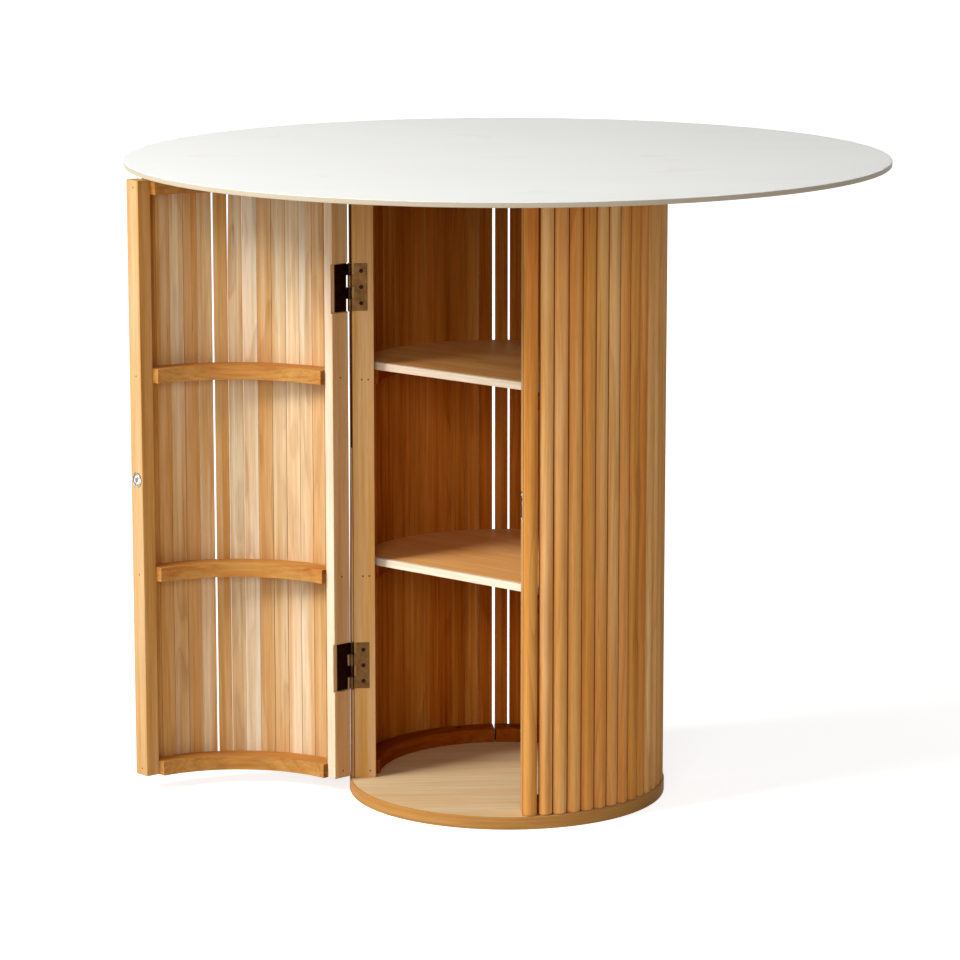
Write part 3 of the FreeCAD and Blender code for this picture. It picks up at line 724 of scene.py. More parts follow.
@dataclass(frozen=True)
class Metal:
    """A plated or plain metal, brushed or tumbled, with tarnish in patches."""

    name: str
    clean: str
    tarnish: str
    roughness: float
    patch_mm: float
    brushed: float = 1.0

    def make(self) -> Material:
        """Builds the material.

        Returns:
            The material.
        """
        material, tree, shader = start_material(self.name)
        place = add_node(tree, "TexCoord").outputs["Object"]
        patch = add_node(tree, "TexNoise", {"Vector": place, "Scale": 1000 / self.patch_mm, "Detail": 4,
                                            "Roughness": 0.6})
        share = add_node(tree, "MapRange", {"Value": patch, "From Min": 0.35, "From Max": 0.7})
        colour = add_node(tree, "Mix", {SHARE: share, UNDER: linear(self.clean),
                                        OVER: linear(self.tarnish)}, data_type="RGBA")
        # Scratches are 0.4 mm apart, and run along Z where the metal is brushed.
        drawn = add_node(tree, "Mapping", {"Vector": place, "Scale": (1.0, 1.0, self.brushed)})
        lines = add_node(tree, "TexNoise", {"Vector": drawn, "Scale": 2600.0, "Detail": 2})
        rough = add_node(tree, "MapRange", {"Value": lines, "To Min": self.roughness - 0.07,
                                            "To Max": self.roughness + 0.12})
        bump = add_node(tree, "Bump", {"Height": lines, "Strength": 0.2, "Distance": 0.00005})
        connect(tree, shader, {"Base Color": colour, "Metallic": 1.0, "Roughness": rough, "Normal": bump})
        return material


UPRIGHT = LacqueredWood("lacquered_alder_uprights", ramp=PALE, ring_mm=6.5, ring_share=0.12, streak_mm=9.0,
                        streak_share=0.3, gum_share=0.3)
RAIL = LacqueredWood("lacquered_alder_curved_rails", ramp=PALE, ring_mm=6.0, streak_share=0.2, gum_share=0.0)
BOARD = LacqueredWood("lacquered_alder_veneer", ramp=VENEER, rose="FFFAF4", ring_mm=7.0, ring_share=0.2,
                      streak_mm=2.4, streak_length_mm=170.0, streak_share=0.22, gum_share=0.0)
BATTEN = LacqueredWood("lacquered_alder_battens", streak_share=0.3)
DOOR_INSIDE = LacqueredWood("lacquered_alder_door_insides", ramp=PALE, rose="FFF2E6")
# Painted shade: the cabinet's inside faces take a darker, deeper copy of the batten finish
INSIDE = LacqueredWood("oiled_alder_insides", ramp=INSIDE_SHADE, gloss=0.01)
# Painted shade: the ledgers inside the cabinet take the darker, deeper ramp
SHADED_RAIL = replace(RAIL, name="oiled_alder_curved_rails", ramp=INSIDE_SHADE, gloss=0.01)
# Painted shade and bounce light: the shelves take the deeper veneer ramp
SHADED_SHELF = replace(BOARD, name="lacquered_alder_shelf_veneer", ramp=INSIDE_SHADE_VENEER)


@dataclass
class Finishes:
    """Every finish on the table, made once."""

    batten: Material = field(default_factory=BATTEN.make)
    door: Material = field(default_factory=DOOR_INSIDE.make)
    # The finishes of the inside faces, of the ledgers and of the shelves paint the cabinet's inner shade
    inside: Material = field(default_factory=INSIDE.make)
    frame: Material = field(default_factory=UPRIGHT.make)
    rail: Material = field(default_factory=RAIL.make)
    shaded_rail: Material = field(default_factory=SHADED_RAIL.make)
    board: Material = field(default_factory=BOARD.make)
    shelf: Material = field(default_factory=SHADED_SHELF.make)
    stone: Material = field(default_factory=GlazedStone("silk_glazed_stone").make)
    stone_edge: Material = field(default_factory=StoneBody("ground_stone_body").make)
    bronze: Material = field(default_factory=Metal(
        "antique_bronze_plating", "6C4C2A", "4A321C", 0.34, 14.0, 0.05).make)
    # The door's hinge leaf takes this darker bronze as painted shade; the hinge screws are of it too
    dark_bronze_with_painted_shade: Material = field(default_factory=Metal(
        "antique_bronze_screws", "3A2016", "180C08", 0.4, 3.0).make)
    nickel: Material = field(default_factory=Metal(
        "nickel_plating", "DCDAD4", "767262", 0.2, 5.0, 0.05).make)
    zinc: Material = field(default_factory=Metal("zinc_plated_screws", "B7B4AC", "8D897F", 0.32, 3.0).make)
    # Near-black: the brads' heads, and painted shade in screw recesses and the magnet's groove
    brad: Material = field(default_factory=Metal("set_brad_heads", "2A1C12", "120B07", 0.5, 1.5).make)


# The table's sub-assemblies


@dataclass
class Slab:
    """The round stone slab."""

    radius: float = 449.8
    bottom: float = 760.0
    thickness: float = 6.0
    arris: float = 0.8
    glaze_edge: float = 4.0
    glazed_above: float = 0.3
    sides: int = 288

    def build(self, finishes: Finishes) -> None:
        """Makes the slab, glazed on its face and bare at its edge and underneath.

        Args:
            finishes: The table's finishes.
        """
        bm = drum(self.radius, self.bottom, self.thickness, self.sides)
        soften(bm, self.arris, 3)
        for face in bm.faces:
            face.material_index = int(face.normal.z <= self.glazed_above)
        inset(bm, caps(bm), [(self.glaze_edge, 0.0)])
        piece = Piece("stone_slab", Body.CABINET, "slab", "table_top")
        piece.add(bm, WALL.place(0), finishes.stone, finishes.stone_edge).finish()


@dataclass
class Boards:
    """The base board on the floor and the top board under the slab, each with a seam in its edge band."""

    radius: float = 190.0
    arris: float = 0.8
    band: float = 0.9
    seam: tuple[tuple[float, float], ...] = ((0.5, -0.3), (0.1, 0.3), (3.0, 0.0))
    sides: int = 256
    tone: float = 0.1
    rim_tone: float = 0.56
    boards: tuple[tuple[str, str, float, float], ...] = (
        ("veneered_base", "base_board", 0.0, 15.0), ("veneered_top", "top_board", 742.0, 18.0))

    def build(self, finishes: Finishes) -> None:
        """Makes both boards.

        Args:
            finishes: The table's finishes.
        """
        rim = self.radius - self.arris - self.band
        for name, node, bottom, thickness in self.boards:
            bm = drum(self.radius, bottom, thickness, self.sides)
            soften(bm, self.arris, 3)
            inset(bm, caps(bm), [(self.band, 0.0), *self.seam])
            Board(name, self.tone, fibres=(1.0, 0.06, 0.0), rim=rim, rim_tone=self.rim_tone).write(bm)
            Piece(name, Body.CABINET, "board_wood", node).add(bm, WALL.place(0), finishes.board).finish()


@dataclass
class Shelves:
    """Two round shelves, sawn straight behind the doorway, with a pale lipping on the straight edge."""

    radius: float = 180.2
    front: float = 95.7
    thickness: float = 9.0
    tops: tuple[tuple[str, float], ...] = (("lower", 281.5), ("upper", 519.5))
    arris: float = 0.8
    lipping: float = 6.0
    groove: float = 0.35
    sides: int = 192
    tone: float = 0.26

    def build(self, finishes: Finishes) -> None:
        """Makes both shelves, each a panel and its lipping.

        Args:
            finishes: The table's finishes.
        """
        place = WALL.place(WALL.latch - 45)
        seam = self.front - self.lipping
        for level, top in self.tops:
            panel = drum(self.radius, top - self.thickness, self.thickness, self.sides)
            strip = panel.copy()
            cut_away(panel, (seam - self.groove, 0, 0), (1, 0, 0))
            cut_away(strip, (self.front, 0, 0), (1, 0, 0))
            cut_away(strip, (seam, 0, 0), (-1, 0, 0))
            long = [edge for edge in strip.edges if edge.calc_length() > 2 * self.thickness]
            ease(strip, [edge for edge in long if edge.verts[0].co.x > self.front - 0.01], self.arris, 3)
            Board(f"shelf_{level}", self.tone, fibres=(0, 1, 0)).write(panel)
            Board(f"lipping_{level}", Tone.CREAM.value, fibres=(0, 1, 0)).write(strip)
            piece = Piece(f"veneered_shelf_{level}", Body.CABINET, "board_wood", f"{level}_shelf")
            # The shelf panels take the deeper veneer finish, painted shade and bounce light
            piece.add(panel, place, finishes.shelf).add(strip, place, finishes.frame).finish()


@dataclass
class HingeSeats:
    """The mortise, recess and barrel notch that a hinge needs, as solids to cut away."""

    heights: tuple[float, float] = (154.4, 612.8)
    length: float = 56.3
    reach: float = 21.0
    thickness: float = 1.5
    recess: float = 2.4
    margin: float = 1.25
    barrel: float = 3.1
    stile_notches: tuple[float, float] = (3.1, 7.4)
    fit: float = 0.2
    stile_depth: float = 24.6
    sides: int = 40

    def cutters(self, inner: float, low: float, high: float, spare: float,
                notches: tuple[float, float]) -> list[BMesh]:
        """Makes a block for each leaf and an upright notch round each barrel.

        Args:
            inner: How far the blocks reach inward from the pin.
            low: The blocks' clockwise side.
            high: The blocks' counter-clockwise side.
            spare: Room above and below a leaf.
            notches: Radius of the notch at each hinge.

        Returns:
            The solids.
        """
        solids = []
        for height, radius in zip(self.heights, notches):
            room = self.length / 2 + spare
            solids.append(block((WALL.pin_offset - inner, low, height - room),
                                (WALL.pin_offset + self.barrel, high, height + room)))
            room = self.length / 2 + self.margin
            notch = drum(radius, height - room, 2 * room, self.sides)
            notch.transform(Matrix.Translation((WALL.pin_offset, 0, 0)))
            solids.append(notch)
        return solids

    def in_post(self) -> list[BMesh]:
        """Makes what is cut from the hinge post and the thin batten on it."""
        return self.cutters(self.reach + self.fit, -WALL.half_gap - self.thickness, BEYOND, self.fit,
                            (self.barrel, self.barrel))

    def in_stile(self) -> list[BMesh]:
        """Makes what is cut from the hinge stile and the thin batten on it."""
        return self.cutters(2 * self.stile_depth, -BEYOND, WALL.half_gap + self.recess, self.margin,
                            self.stile_notches)


@dataclass(frozen=True)
class Upright:
    """A post or stile.

    Its side is 1 where it lies counter-clockwise of the doorway's edge, or -1, and its size is its depth from
    face to back and its width along the wall. The side of its board that pale points to has another tone,
    painted light or shade on that side, and a post's corner at its seam has painted shade.
    """

    name: str
    node: str
    body: Body
    turn: float
    side: int
    size: tuple[float, float]
    tone: float
    pale: Place
    painted_side_tone: float
    pale_turn: float = 0.7
    seam_painted_shade: float = 1.1
    seam_turn: float = 0.2

    def section(self) -> list[tuple[float, float]]:
        """Gives its section, whose face is square to the batten on it.

        Returns:
            The four corners.
        """
        first = math.radians(WALL.first)
        depth, width = self.size
        near, far = WALL.half_gap, WALL.half_gap + width
        rear = WALL.face - depth
        return [((radius - across * math.sin(first)) / math.cos(first), self.side * across)
                for radius, across in ((rear, near), (WALL.face, near), (WALL.face, far), (rear, far))]

    def painted_face_tone(self, face: Face) -> float | None:
        """Gives the painted light or shade of the pale side, and the painted shade on the corner that a post
        has at its seam.

        Args:
            face: A face of it.

        Returns:
            The tone, or None for the board's own.
        """
        if face.normal.dot(self.pale) > self.pale_turn:
            return self.painted_side_tone
        to_seam = min(face.normal.x, self.side * -face.normal.y)
        return self.seam_painted_shade if self.body is Body.CABINET and to_seam > self.seam_turn else None


@dataclass
class Uprights:
    """The posts of the cabinet and the stiles of the door."""

    post: tuple[float, float] = (26.4, 17.0)
    free_stile: tuple[float, float] = (21.3, 17.6)
    hinge_stile: tuple[float, float] = (24.6, 13.8)
    arris: float = 0.9
    pocket_radius: float = 8.9
    pocket_depth: float = 5.05
    magnet_proud: float = 0.7
    catch_height: float = 381.0
    catch_radius: float = 174.05

    def pocket(self) -> BMesh:
        """Makes what is cut from the free stile for the magnet.

        Returns:
            The solid.
        """
        face = -WALL.half_gap + self.magnet_proud - self.pocket_depth
        bm = drum(self.pocket_radius, 0, 4 * BEYOND, 48)
        bm.transform(Matrix.Translation((self.catch_radius, face, self.catch_height)) @ turned(-90, "X"))
        return bm

    def build(self, finishes: Finishes, seats: HingeSeats) -> None:
        """Makes both posts and both stiles.

        Args:
            finishes: The table's finishes.
            seats: What the hinges need.
        """
        edge, inside = (0, 1, 0), (-1, 0, 0)
        cabinet, door = Body.CABINET, Body.DOOR
        # The last tone of each upright is painted on its pale side: painted light on the stiles, painted
        # shade on the hinge post's inside
        uprights = (
            (Upright("post_at_latch", "latch_post", cabinet, WALL.latch, 1, self.post, 0.5, inside, 0.5), []),
            (Upright("post_at_hinges", "hinge_post", cabinet, WALL.hinge, -1, self.post, 0.56, inside, 0.68),
             seats.in_post()),
            (Upright("stile_at_latch", "free_stile", door, WALL.latch, -1, self.free_stile, 0.56, edge, 0.46),
             [self.pocket()]),
            (Upright("stile_at_hinges", "hinge_stile", door, WALL.hinge, 1, self.hinge_stile, 0.38, inside,
                     0.07), seats.in_stile()))
        for upright, cutters in uprights:
            bottom, top = WALL.levels(upright.body)
            bm = prism(upright.section(), bottom, top - bottom)
            soften(bm, self.arris, 3)
            if cutters:
                bm = carve(bm, cutters)
            Board(upright.name, upright.tone).write(bm, upright.painted_face_tone)
            piece = Piece(upright.name, upright.body, "frame_wood", upright.node)
            piece.add(bm, WALL.place(upright.turn, upright.body), finishes.frame).finish()


@dataclass(frozen=True)
class Planing:
    """How a batten's counter-clockwise side and its crest shift between two heights, and on to its top."""

    start: float
    end: float
    side: float = 0.0
    crest: tuple[float, float] = (0.0, 0.0)

    def shift(self, vert: Vert, rear: float, middle: float, half: float) -> None:
        """Moves a point of the batten.

        Args:
            vert: The point.
            rear: Radius of the batten's flat back.
            middle: Middle of its width.
            half: Half its width.
        """
        share = min(max((vert.co.z - self.start) / (self.end - self.start), 0.0), 1.0)
        vert.co.y -= self.side * share * max(vert.co.y - middle, 0.0) / half
        rise = self.crest[0] + share * (self.crest[1] - self.crest[0])
        vert.co.x += rise * (vert.co.x - rear) / (WALL.crest - rear)


@dataclass
class Battens:
    """The crowned battens of the wall and of the door."""

    usual_gap: float = 0.2
    joint_gap: float = 0.3
    open_joint: float = 1.4
    hinge_gap: float = 1.2
    wide_wall: tuple[tuple[str, int, float], ...] = (("back", 15, 2.3), ("right", 1, 2.4))
    wide_door: tuple[tuple[int, float], ...] = ((10, 2.0),)
    side_end: float = 183.5
    least_side: float = 0.3
    shoulder: float = 1.7
    shoulder_share: float = 0.45
    back_ease: float = 0.4
    end_round: float = 2.6
    end_share: float = 0.8
    crown_steps: int = 10
    cap_turn: float = 0.25
    side_turn: float = 0.93
    back_turn: float = -0.5
    # Painted shade on the hinge cap's doorway side, above a height
    painted_shade_above: float = 1.1
    # Darker tone of the batten sides, painted shade in the gaps
    groove: float = 0.85
    # Height below which the hinge cap's doorway side carries a painted highlight instead of painted shade
    painted_highlight_below: float = 330.0
    right_tones: tuple[Tone, ...] = (
        Tone.ROSE, Tone.HONEY, Tone.HONEY, Tone.AMBER, Tone.ROSE, Tone.AMBER, Tone.STRAW, Tone.HONEY,
        Tone.ROSE, Tone.ROSE, Tone.HONEY, Tone.STRAW)
    door_tones: tuple[Tone, ...] = (
        Tone.TAN, Tone.ROSE, Tone.HONEY, Tone.PALE, Tone.PALE, Tone.STRAW, Tone.HONEY, Tone.CREAM,
        Tone.STRAW, Tone.AMBER, Tone.STRAW, Tone.AMBER, Tone.STRAW, Tone.AMBER, Tone.ROSE, Tone.HONEY)
    planed: dict[str, Planing] = field(default_factory=lambda: {
        "left_14": Planing(240.0, 420.0, crest=(0.0, -0.5)),
        "left_15": Planing(240.0, 420.0, crest=(0.25, -1.1)), "door_8": Planing(625.0, 739.0, side=2.1)})

    def section(self, low: float, high: float, rear: float) -> BMesh:
        """Makes a batten's section at height 0: a flat back, straight sides and a crowned face.

        Args:
            low: Its clockwise side.
            high: Its counter-clockwise side.
            rear: Radius of its flat back.

        Returns:
            The section, one face.
        """
        side_end = max(self.side_end, rear + self.least_side)
        half, rise = (high - low) / 2, WALL.crest - side_end
        radius = (half**2 + rise**2) / (2 * rise)
        bm = bmesh.new()
        start = bm.verts.new((side_end, low, 0))
        middle = (WALL.crest - radius, (low + high) / 2, 0)
        swept = bmesh.ops.spin(bm, geom=[start], cent=middle, axis=(0, 0, 1), dvec=(0, 0, 0),
                               angle=2 * math.asin(half / radius), steps=self.crown_steps)
        end = next(item for item in swept["geom_last"] if isinstance(item, Vert))
        back = [bm.verts.new((rear, side, 0)) for side in (high, low)]
        for pair in ((end, back[0]), back, (back[1], start)):
            bm.edges.new(pair)
        bmesh.ops.contextual_create(bm, geom=bm.edges[:])
        ease(bm, [start, end], min(self.shoulder, self.shoulder_share * (side_end - rear)), 3)
        if rear == WALL.back:
            ease(bm, back, self.back_ease, 1)
        return bm

    def batten(self, seed: str, sides: tuple[float, float], on_upright: bool, body: Body) -> BMesh:
        """Makes a batten, whose ends are rounded over.

        Args:
            seed: Its panel and its number from 0.
            sides: Its clockwise and its counter-clockwise side.
            on_upright: Whether it is a thin cap on a post or stile.
            body: The body that it rides on.

        Returns:
            The closed solid.
        """
        low, high = sides
        rear = WALL.face if on_upright else WALL.back
        middle, half = (low + high) / 2, (high - low) / 2
        bottom, top = WALL.levels(body)
        height = top - bottom
        planing = self.planed.get(seed)
        bm = self.section(low, high, rear)
        steps = [self.end_round * (1 - math.cos(math.radians(angle))) for angle in (0, 30, 60, 90)]
        bends = [level - bottom for level in (planing.start, planing.end)] if planing else []
        bends = [level for level in bends if level < height - self.end_round]
        (face,) = bm.faces
        reached = 0.0
        for level in steps[1:] + bends + [height - step for step in reversed(steps)]:
            face, _ = extrude(bm, face, (0, 0, level - reached))
            reached = level
        face_out(bm)
        for vert in bm.verts:
            depth = self.end_round - min(vert.co.z, height - vert.co.z)
            if depth > 0:
                drop = self.end_round - math.sqrt(max(self.end_round**2 - depth**2, 0.0))
                out = (vert.co.x - rear) / (WALL.crest - rear)
                across = vert.co.y - middle
                vert.co.x -= drop * out * self.end_share
                vert.co.y -= drop * math.copysign(min(out * 2, 1.0), across) * (abs(across) / half)
            vert.co.z += bottom
            if planing:
                planing.shift(vert, rear, middle, half)
        return bm

    def row(self, wide: dict[int, float], before: float, after: float) -> list[tuple[float, float]]:
        """Gives the sides of a panel's battens.

        Args:
            wide: Gap after a batten, by the batten's number from 1, where it isn't the usual one.
            before: Gap at the panel's start.
            after: Gap at the panel's end.

        Returns:
            The two sides of each batten.
        """
        half = WALL.back * math.tan(math.radians(WALL.step / 2))
        gaps = [before, *(wide.get(number, self.usual_gap) for number in range(1, WALL.battens)), after]
        return [(-half + gaps[number] / 2, half - gaps[number + 1] / 2) for number in range(WALL.battens)]

    def gap_painted_shade(self, face: Face) -> float | None:
        """Gives the darker tone of a batten's sides, painted shade in the gaps between battens."""
        return self.groove if abs(face.normal.y) > self.side_turn else None

    def hinge_side_painted_light_and_shade(self, face: Face) -> float | None:
        """Gives the tone of the hinge post's cap where it faces the doorway: a painted highlight below and
        painted shade above.

        Args:
            face: A face of the cap.

        Returns:
            The tone, or None for the board's own.
        """
        if face.normal.y < self.cap_turn:
            return None
        return self.painted_shade_above if face.calc_center_median().z > self.painted_highlight_below else Tone.CREAM.value

    def build_wall(self, finishes: Finishes, seats: HingeSeats) -> None:
        """Makes the wall's three panels.

        Args:
            finishes: The table's finishes.
            seats: What the hinges need.
        """
        ends = {"right": (self.joint_gap, self.joint_gap), "back": (self.joint_gap, self.open_joint),
                "left": (self.open_joint, self.hinge_gap)}
        last = WALL.battens - 1
        for order, (panel, gaps) in enumerate(ends.items()):
            piece = Piece(f"battens_{panel}", Body.CABINET, "batten_wood", f"wall_battens_{panel}")
            wide = {number: gap for name, number, gap in self.wide_wall if name == panel}
            tones = [tone.value for tone in self.right_tones] if panel == "right" else []
            tones += [None] * (WALL.battens - len(tones))
            for number, sides in enumerate(self.row(wide, *gaps)):
                seed = f"{panel}_{number}"
                on_post = seed in ("right_0", f"left_{last}")
                turn = WALL.latch + 90 * order + WALL.first + number * WALL.step
                bm = self.batten(seed, sides, on_post, Body.CABINET)
                if seed == f"left_{last}":
                    bm.transform(turned(turn - (WALL.hinge + 360)))
                    bm = carve(bm, seats.in_post())
                    turn = WALL.hinge
                    # The hinge cap's faces towards the doorway take the inside finish, with a painted
                    # highlight below and painted shade above
                    for face in bm.faces:
                        face.material_index = int(face.normal.y > self.cap_turn)
                    Board(seed).write(bm, self.hinge_side_painted_light_and_shade)
                else:
                    Board(seed, tones[number]).write(bm, self.gap_painted_shade)
                if not on_post:
                    bm.transform(Matrix.Translation((random.Random(seed).uniform(-0.15, 0.1), 0, 0)))
                    # Faces towards the cabinet's inside take the inside finish, painted shade
                    for face in bm.faces:
                        face.material_index = int(face.normal.x < self.back_turn)
                piece.add(bm, WALL.place(turn), finishes.batten, finishes.inside)
            piece.finish()

    def build_door(self, finishes: Finishes, seats: HingeSeats) -> None:
        """Makes the door's battens, counted from the hinges.

        Args:
            finishes: The table's finishes.
            seats: What the hinges need.
        """
        rows = self.row(dict(self.wide_door), self.hinge_gap, self.joint_gap)
        for number, (sides, tone) in enumerate(zip(rows, self.door_tones)):
            seed = f"door_{number}"
            turn = WALL.hinge + WALL.first + number * WALL.step
            bm = self.batten(seed, sides, number in (0, WALL.battens - 1), Body.DOOR)
            if number == 0:
                bm.transform(turned(WALL.first))
                bm = carve(bm, seats.in_stile())
                turn = WALL.hinge
            Board(seed, tone.value).write(bm, self.gap_painted_shade)
            for face in bm.faces:
                face.material_index = int(face.normal.x < self.back_turn)
            name = f"batten_of_door_{number + 1:02d}"
            piece = Piece(name, Body.DOOR, "batten_wood", f"door_batten_{number + 1:02d}")
            piece.add(bm, WALL.place(turn, Body.DOOR), finishes.batten, finishes.door).finish()


@dataclass
class Rails:
    """Curved ledgers of the cabinet and curved ribs of the door, sawn from straight boards."""

    height: float = 17.0
    arris: float = 0.9
    steps: int = 48
    spare_angle: float = 3.0
    post_end: float = 18.2
    hinge_stile_end: float = 14.7
    free_stile_end: float = 18.5
    rib_tone: float = 0.7
    end_depth: float = 0.4
    ledger_levels: tuple[tuple[str, float], ...] = (
        ("bottom", 15.0), ("lower", 255.5), ("upper", 493.5), ("top", 725.0))
    rib_levels: tuple[tuple[str, float], ...] = (
        ("bottom", 18.0), ("lower", 257.2), ("upper", 497.7), ("top", 722.0))

    def rail(self, bottom: float, start_gap: float, end_gap: float) -> BMesh:
        """Makes a quarter ring whose ends stand clear of the quarter's edges.

        Args:
            bottom: Height of the lower face.
            start_gap: Room at the start.
            end_gap: Room at the end.

        Returns:
            The closed solid.
        """
        bm = bmesh.new()
        low, high = bottom, bottom + self.height
        corners = ((WALL.ring, low), (WALL.back, low), (WALL.back, high), (WALL.ring, high))
        section = bm.faces.new([bm.verts.new((x, 0, z)) for x, z in corners])
        bm.transform(turned(-self.spare_angle))
        bmesh.ops.spin(bm, geom=[section, *section.edges, *section.verts], cent=(0, 0, 0), axis=(0, 0, 1),
                       dvec=(0, 0, 0), angle=math.radians(90 + 2 * self.spare_angle), steps=self.steps)
        face_out(bm)
        cut_away(bm, (0, start_gap, 0), (0, -1, 0))
        cut_away(bm, (end_gap, 0, 0), (-1, 0, 0))
        soften(bm, self.arris)
        return bm

    def end_tone(self, face: Face) -> float | None:
        """Gives the tone of a rib's end grain at the hinge stile."""
        at_end = face.calc_center_median().y < self.hinge_stile_end + self.end_depth
        return Tone.BROWN.value if at_end else None

    def build(self, finishes: Finishes) -> None:
        """Makes every ledger and rib.

        Args:
            finishes: The table's finishes.
        """
        joint = WALL.joint / 2
        ends = {"right": (self.post_end, joint), "back": (joint, joint), "left": (joint, self.post_end)}
        for order, (side, gaps) in enumerate(ends.items()):
            for level, bottom in self.ledger_levels:
                name = f"ledger_{level}_{side}"
                bm = self.rail(bottom, *gaps)
                # The ledgers' dark tone and finish are painted shade inside the cabinet
                Board(name, Tone.TAN.value, fibres=(-1, 1, 0)).write(bm)
                piece = Piece(name, Body.CABINET, "rail_wood", f"{level}_ledger_{side}")
                piece.add(bm, WALL.place(WALL.latch + 90 * order), finishes.shaded_rail).finish()
        for level, bottom in self.rib_levels:
            bm = self.rail(bottom, self.hinge_stile_end, self.free_stile_end)
            Board(f"rib_{level}", self.rib_tone, fibres=(-1, 1, 0)).write(bm, self.end_tone)
            piece = Piece(f"rib_{level}", Body.DOOR, "rail_wood", f"door_rib_{level}")
            piece.add(bm, WALL.place(WALL.hinge, Body.DOOR), finishes.rail).finish()


@dataclass(frozen=True)
class Screw:
    """A screw with a cross recess, head up at the origin and shank along -Z.

    The shares are parts of the head's radius.
    """

    head: float
    sink: float
    shank: float
    length: float
    pan: float = 0.0
    sides: int = 24
    ring_share: float = 0.22
    slot_share: float = 0.16
    arm_share: float = 0.56
    depth_share: float = 0.8
    taper: float = 0.5

    def build(self) -> BMesh:
        """Makes the screw.

        Returns:
            The closed solid, whose recess has material index 1, for a near-black finish that is painted
            shade.
        """
        bm = bmesh.new()
        bmesh.ops.create_circle(bm, cap_ends=True, segments=self.sides, radius=self.head)
        (rim,) = bm.faces
        neck, moved = extrude(bm, rim, (0, 0, -max(self.sink, 0.05)))
        ratio = self.shank / self.head
        bmesh.ops.scale(bm, vec=(ratio, ratio, 1), verts=moved)
        extrude(bm, neck, (0, 0, self.sink - self.length))
        face_out(bm)
        crown = [max(bm.faces, key=lambda face: face.normal.z)]
        bmesh.ops.inset_region(bm, faces=crown, thickness=self.head * self.ring_share, depth=0.0,
                               use_even_offset=True)
        if self.pan:
            bmesh.ops.translate(bm, vec=(0, 0, self.pan), verts=list(crown[0].verts))
        slot, arm = self.head * self.slot_share, self.head * self.arm_share
        depth = min(self.sink + self.pan, self.head * self.depth_share)
        cross = []
        for across, along in ((arm, slot), (slot, arm)):
            cutter = block((-across, -along, self.pan - depth), (across, along, self.pan + 1))
            floor = [vert for vert in cutter.verts if vert.co.z < self.pan]
            bmesh.ops.scale(cutter, vec=(self.taper, self.taper, 1), verts=floor)
            cross.append(cutter)
        bm = carve(bm, cross)
        # The recess faces get index 1, the near-black finish as painted shade
        for face in bm.faces:
            middle = face.calc_center_median()
            sunk = self.pan - depth - 0.01 < middle.z < self.pan - 0.02
            face.material_index = int(sunk and middle.to_2d().length < arm + 0.01)
        return bm


def drive_in(turn: float, spot: Place, facing: str, body: Body) -> Matrix:
    """Gives the matrix that drives a screw or brad.

    Args:
        turn: Direction of the frame that the spot is in, in degrees.
        spot: Place of the head.
        facing: Way that the head faces: forward and backward along the wall, up or down.
        body: The body that it is driven in.

    Returns:
        The matrix.
    """
    tilt = {"forward": -90, "backward": 90, "up": 0, "down": 180}[facing]
    return WALL.place(turn, body) @ Matrix.Translation(spot) @ turned(tilt, "X")


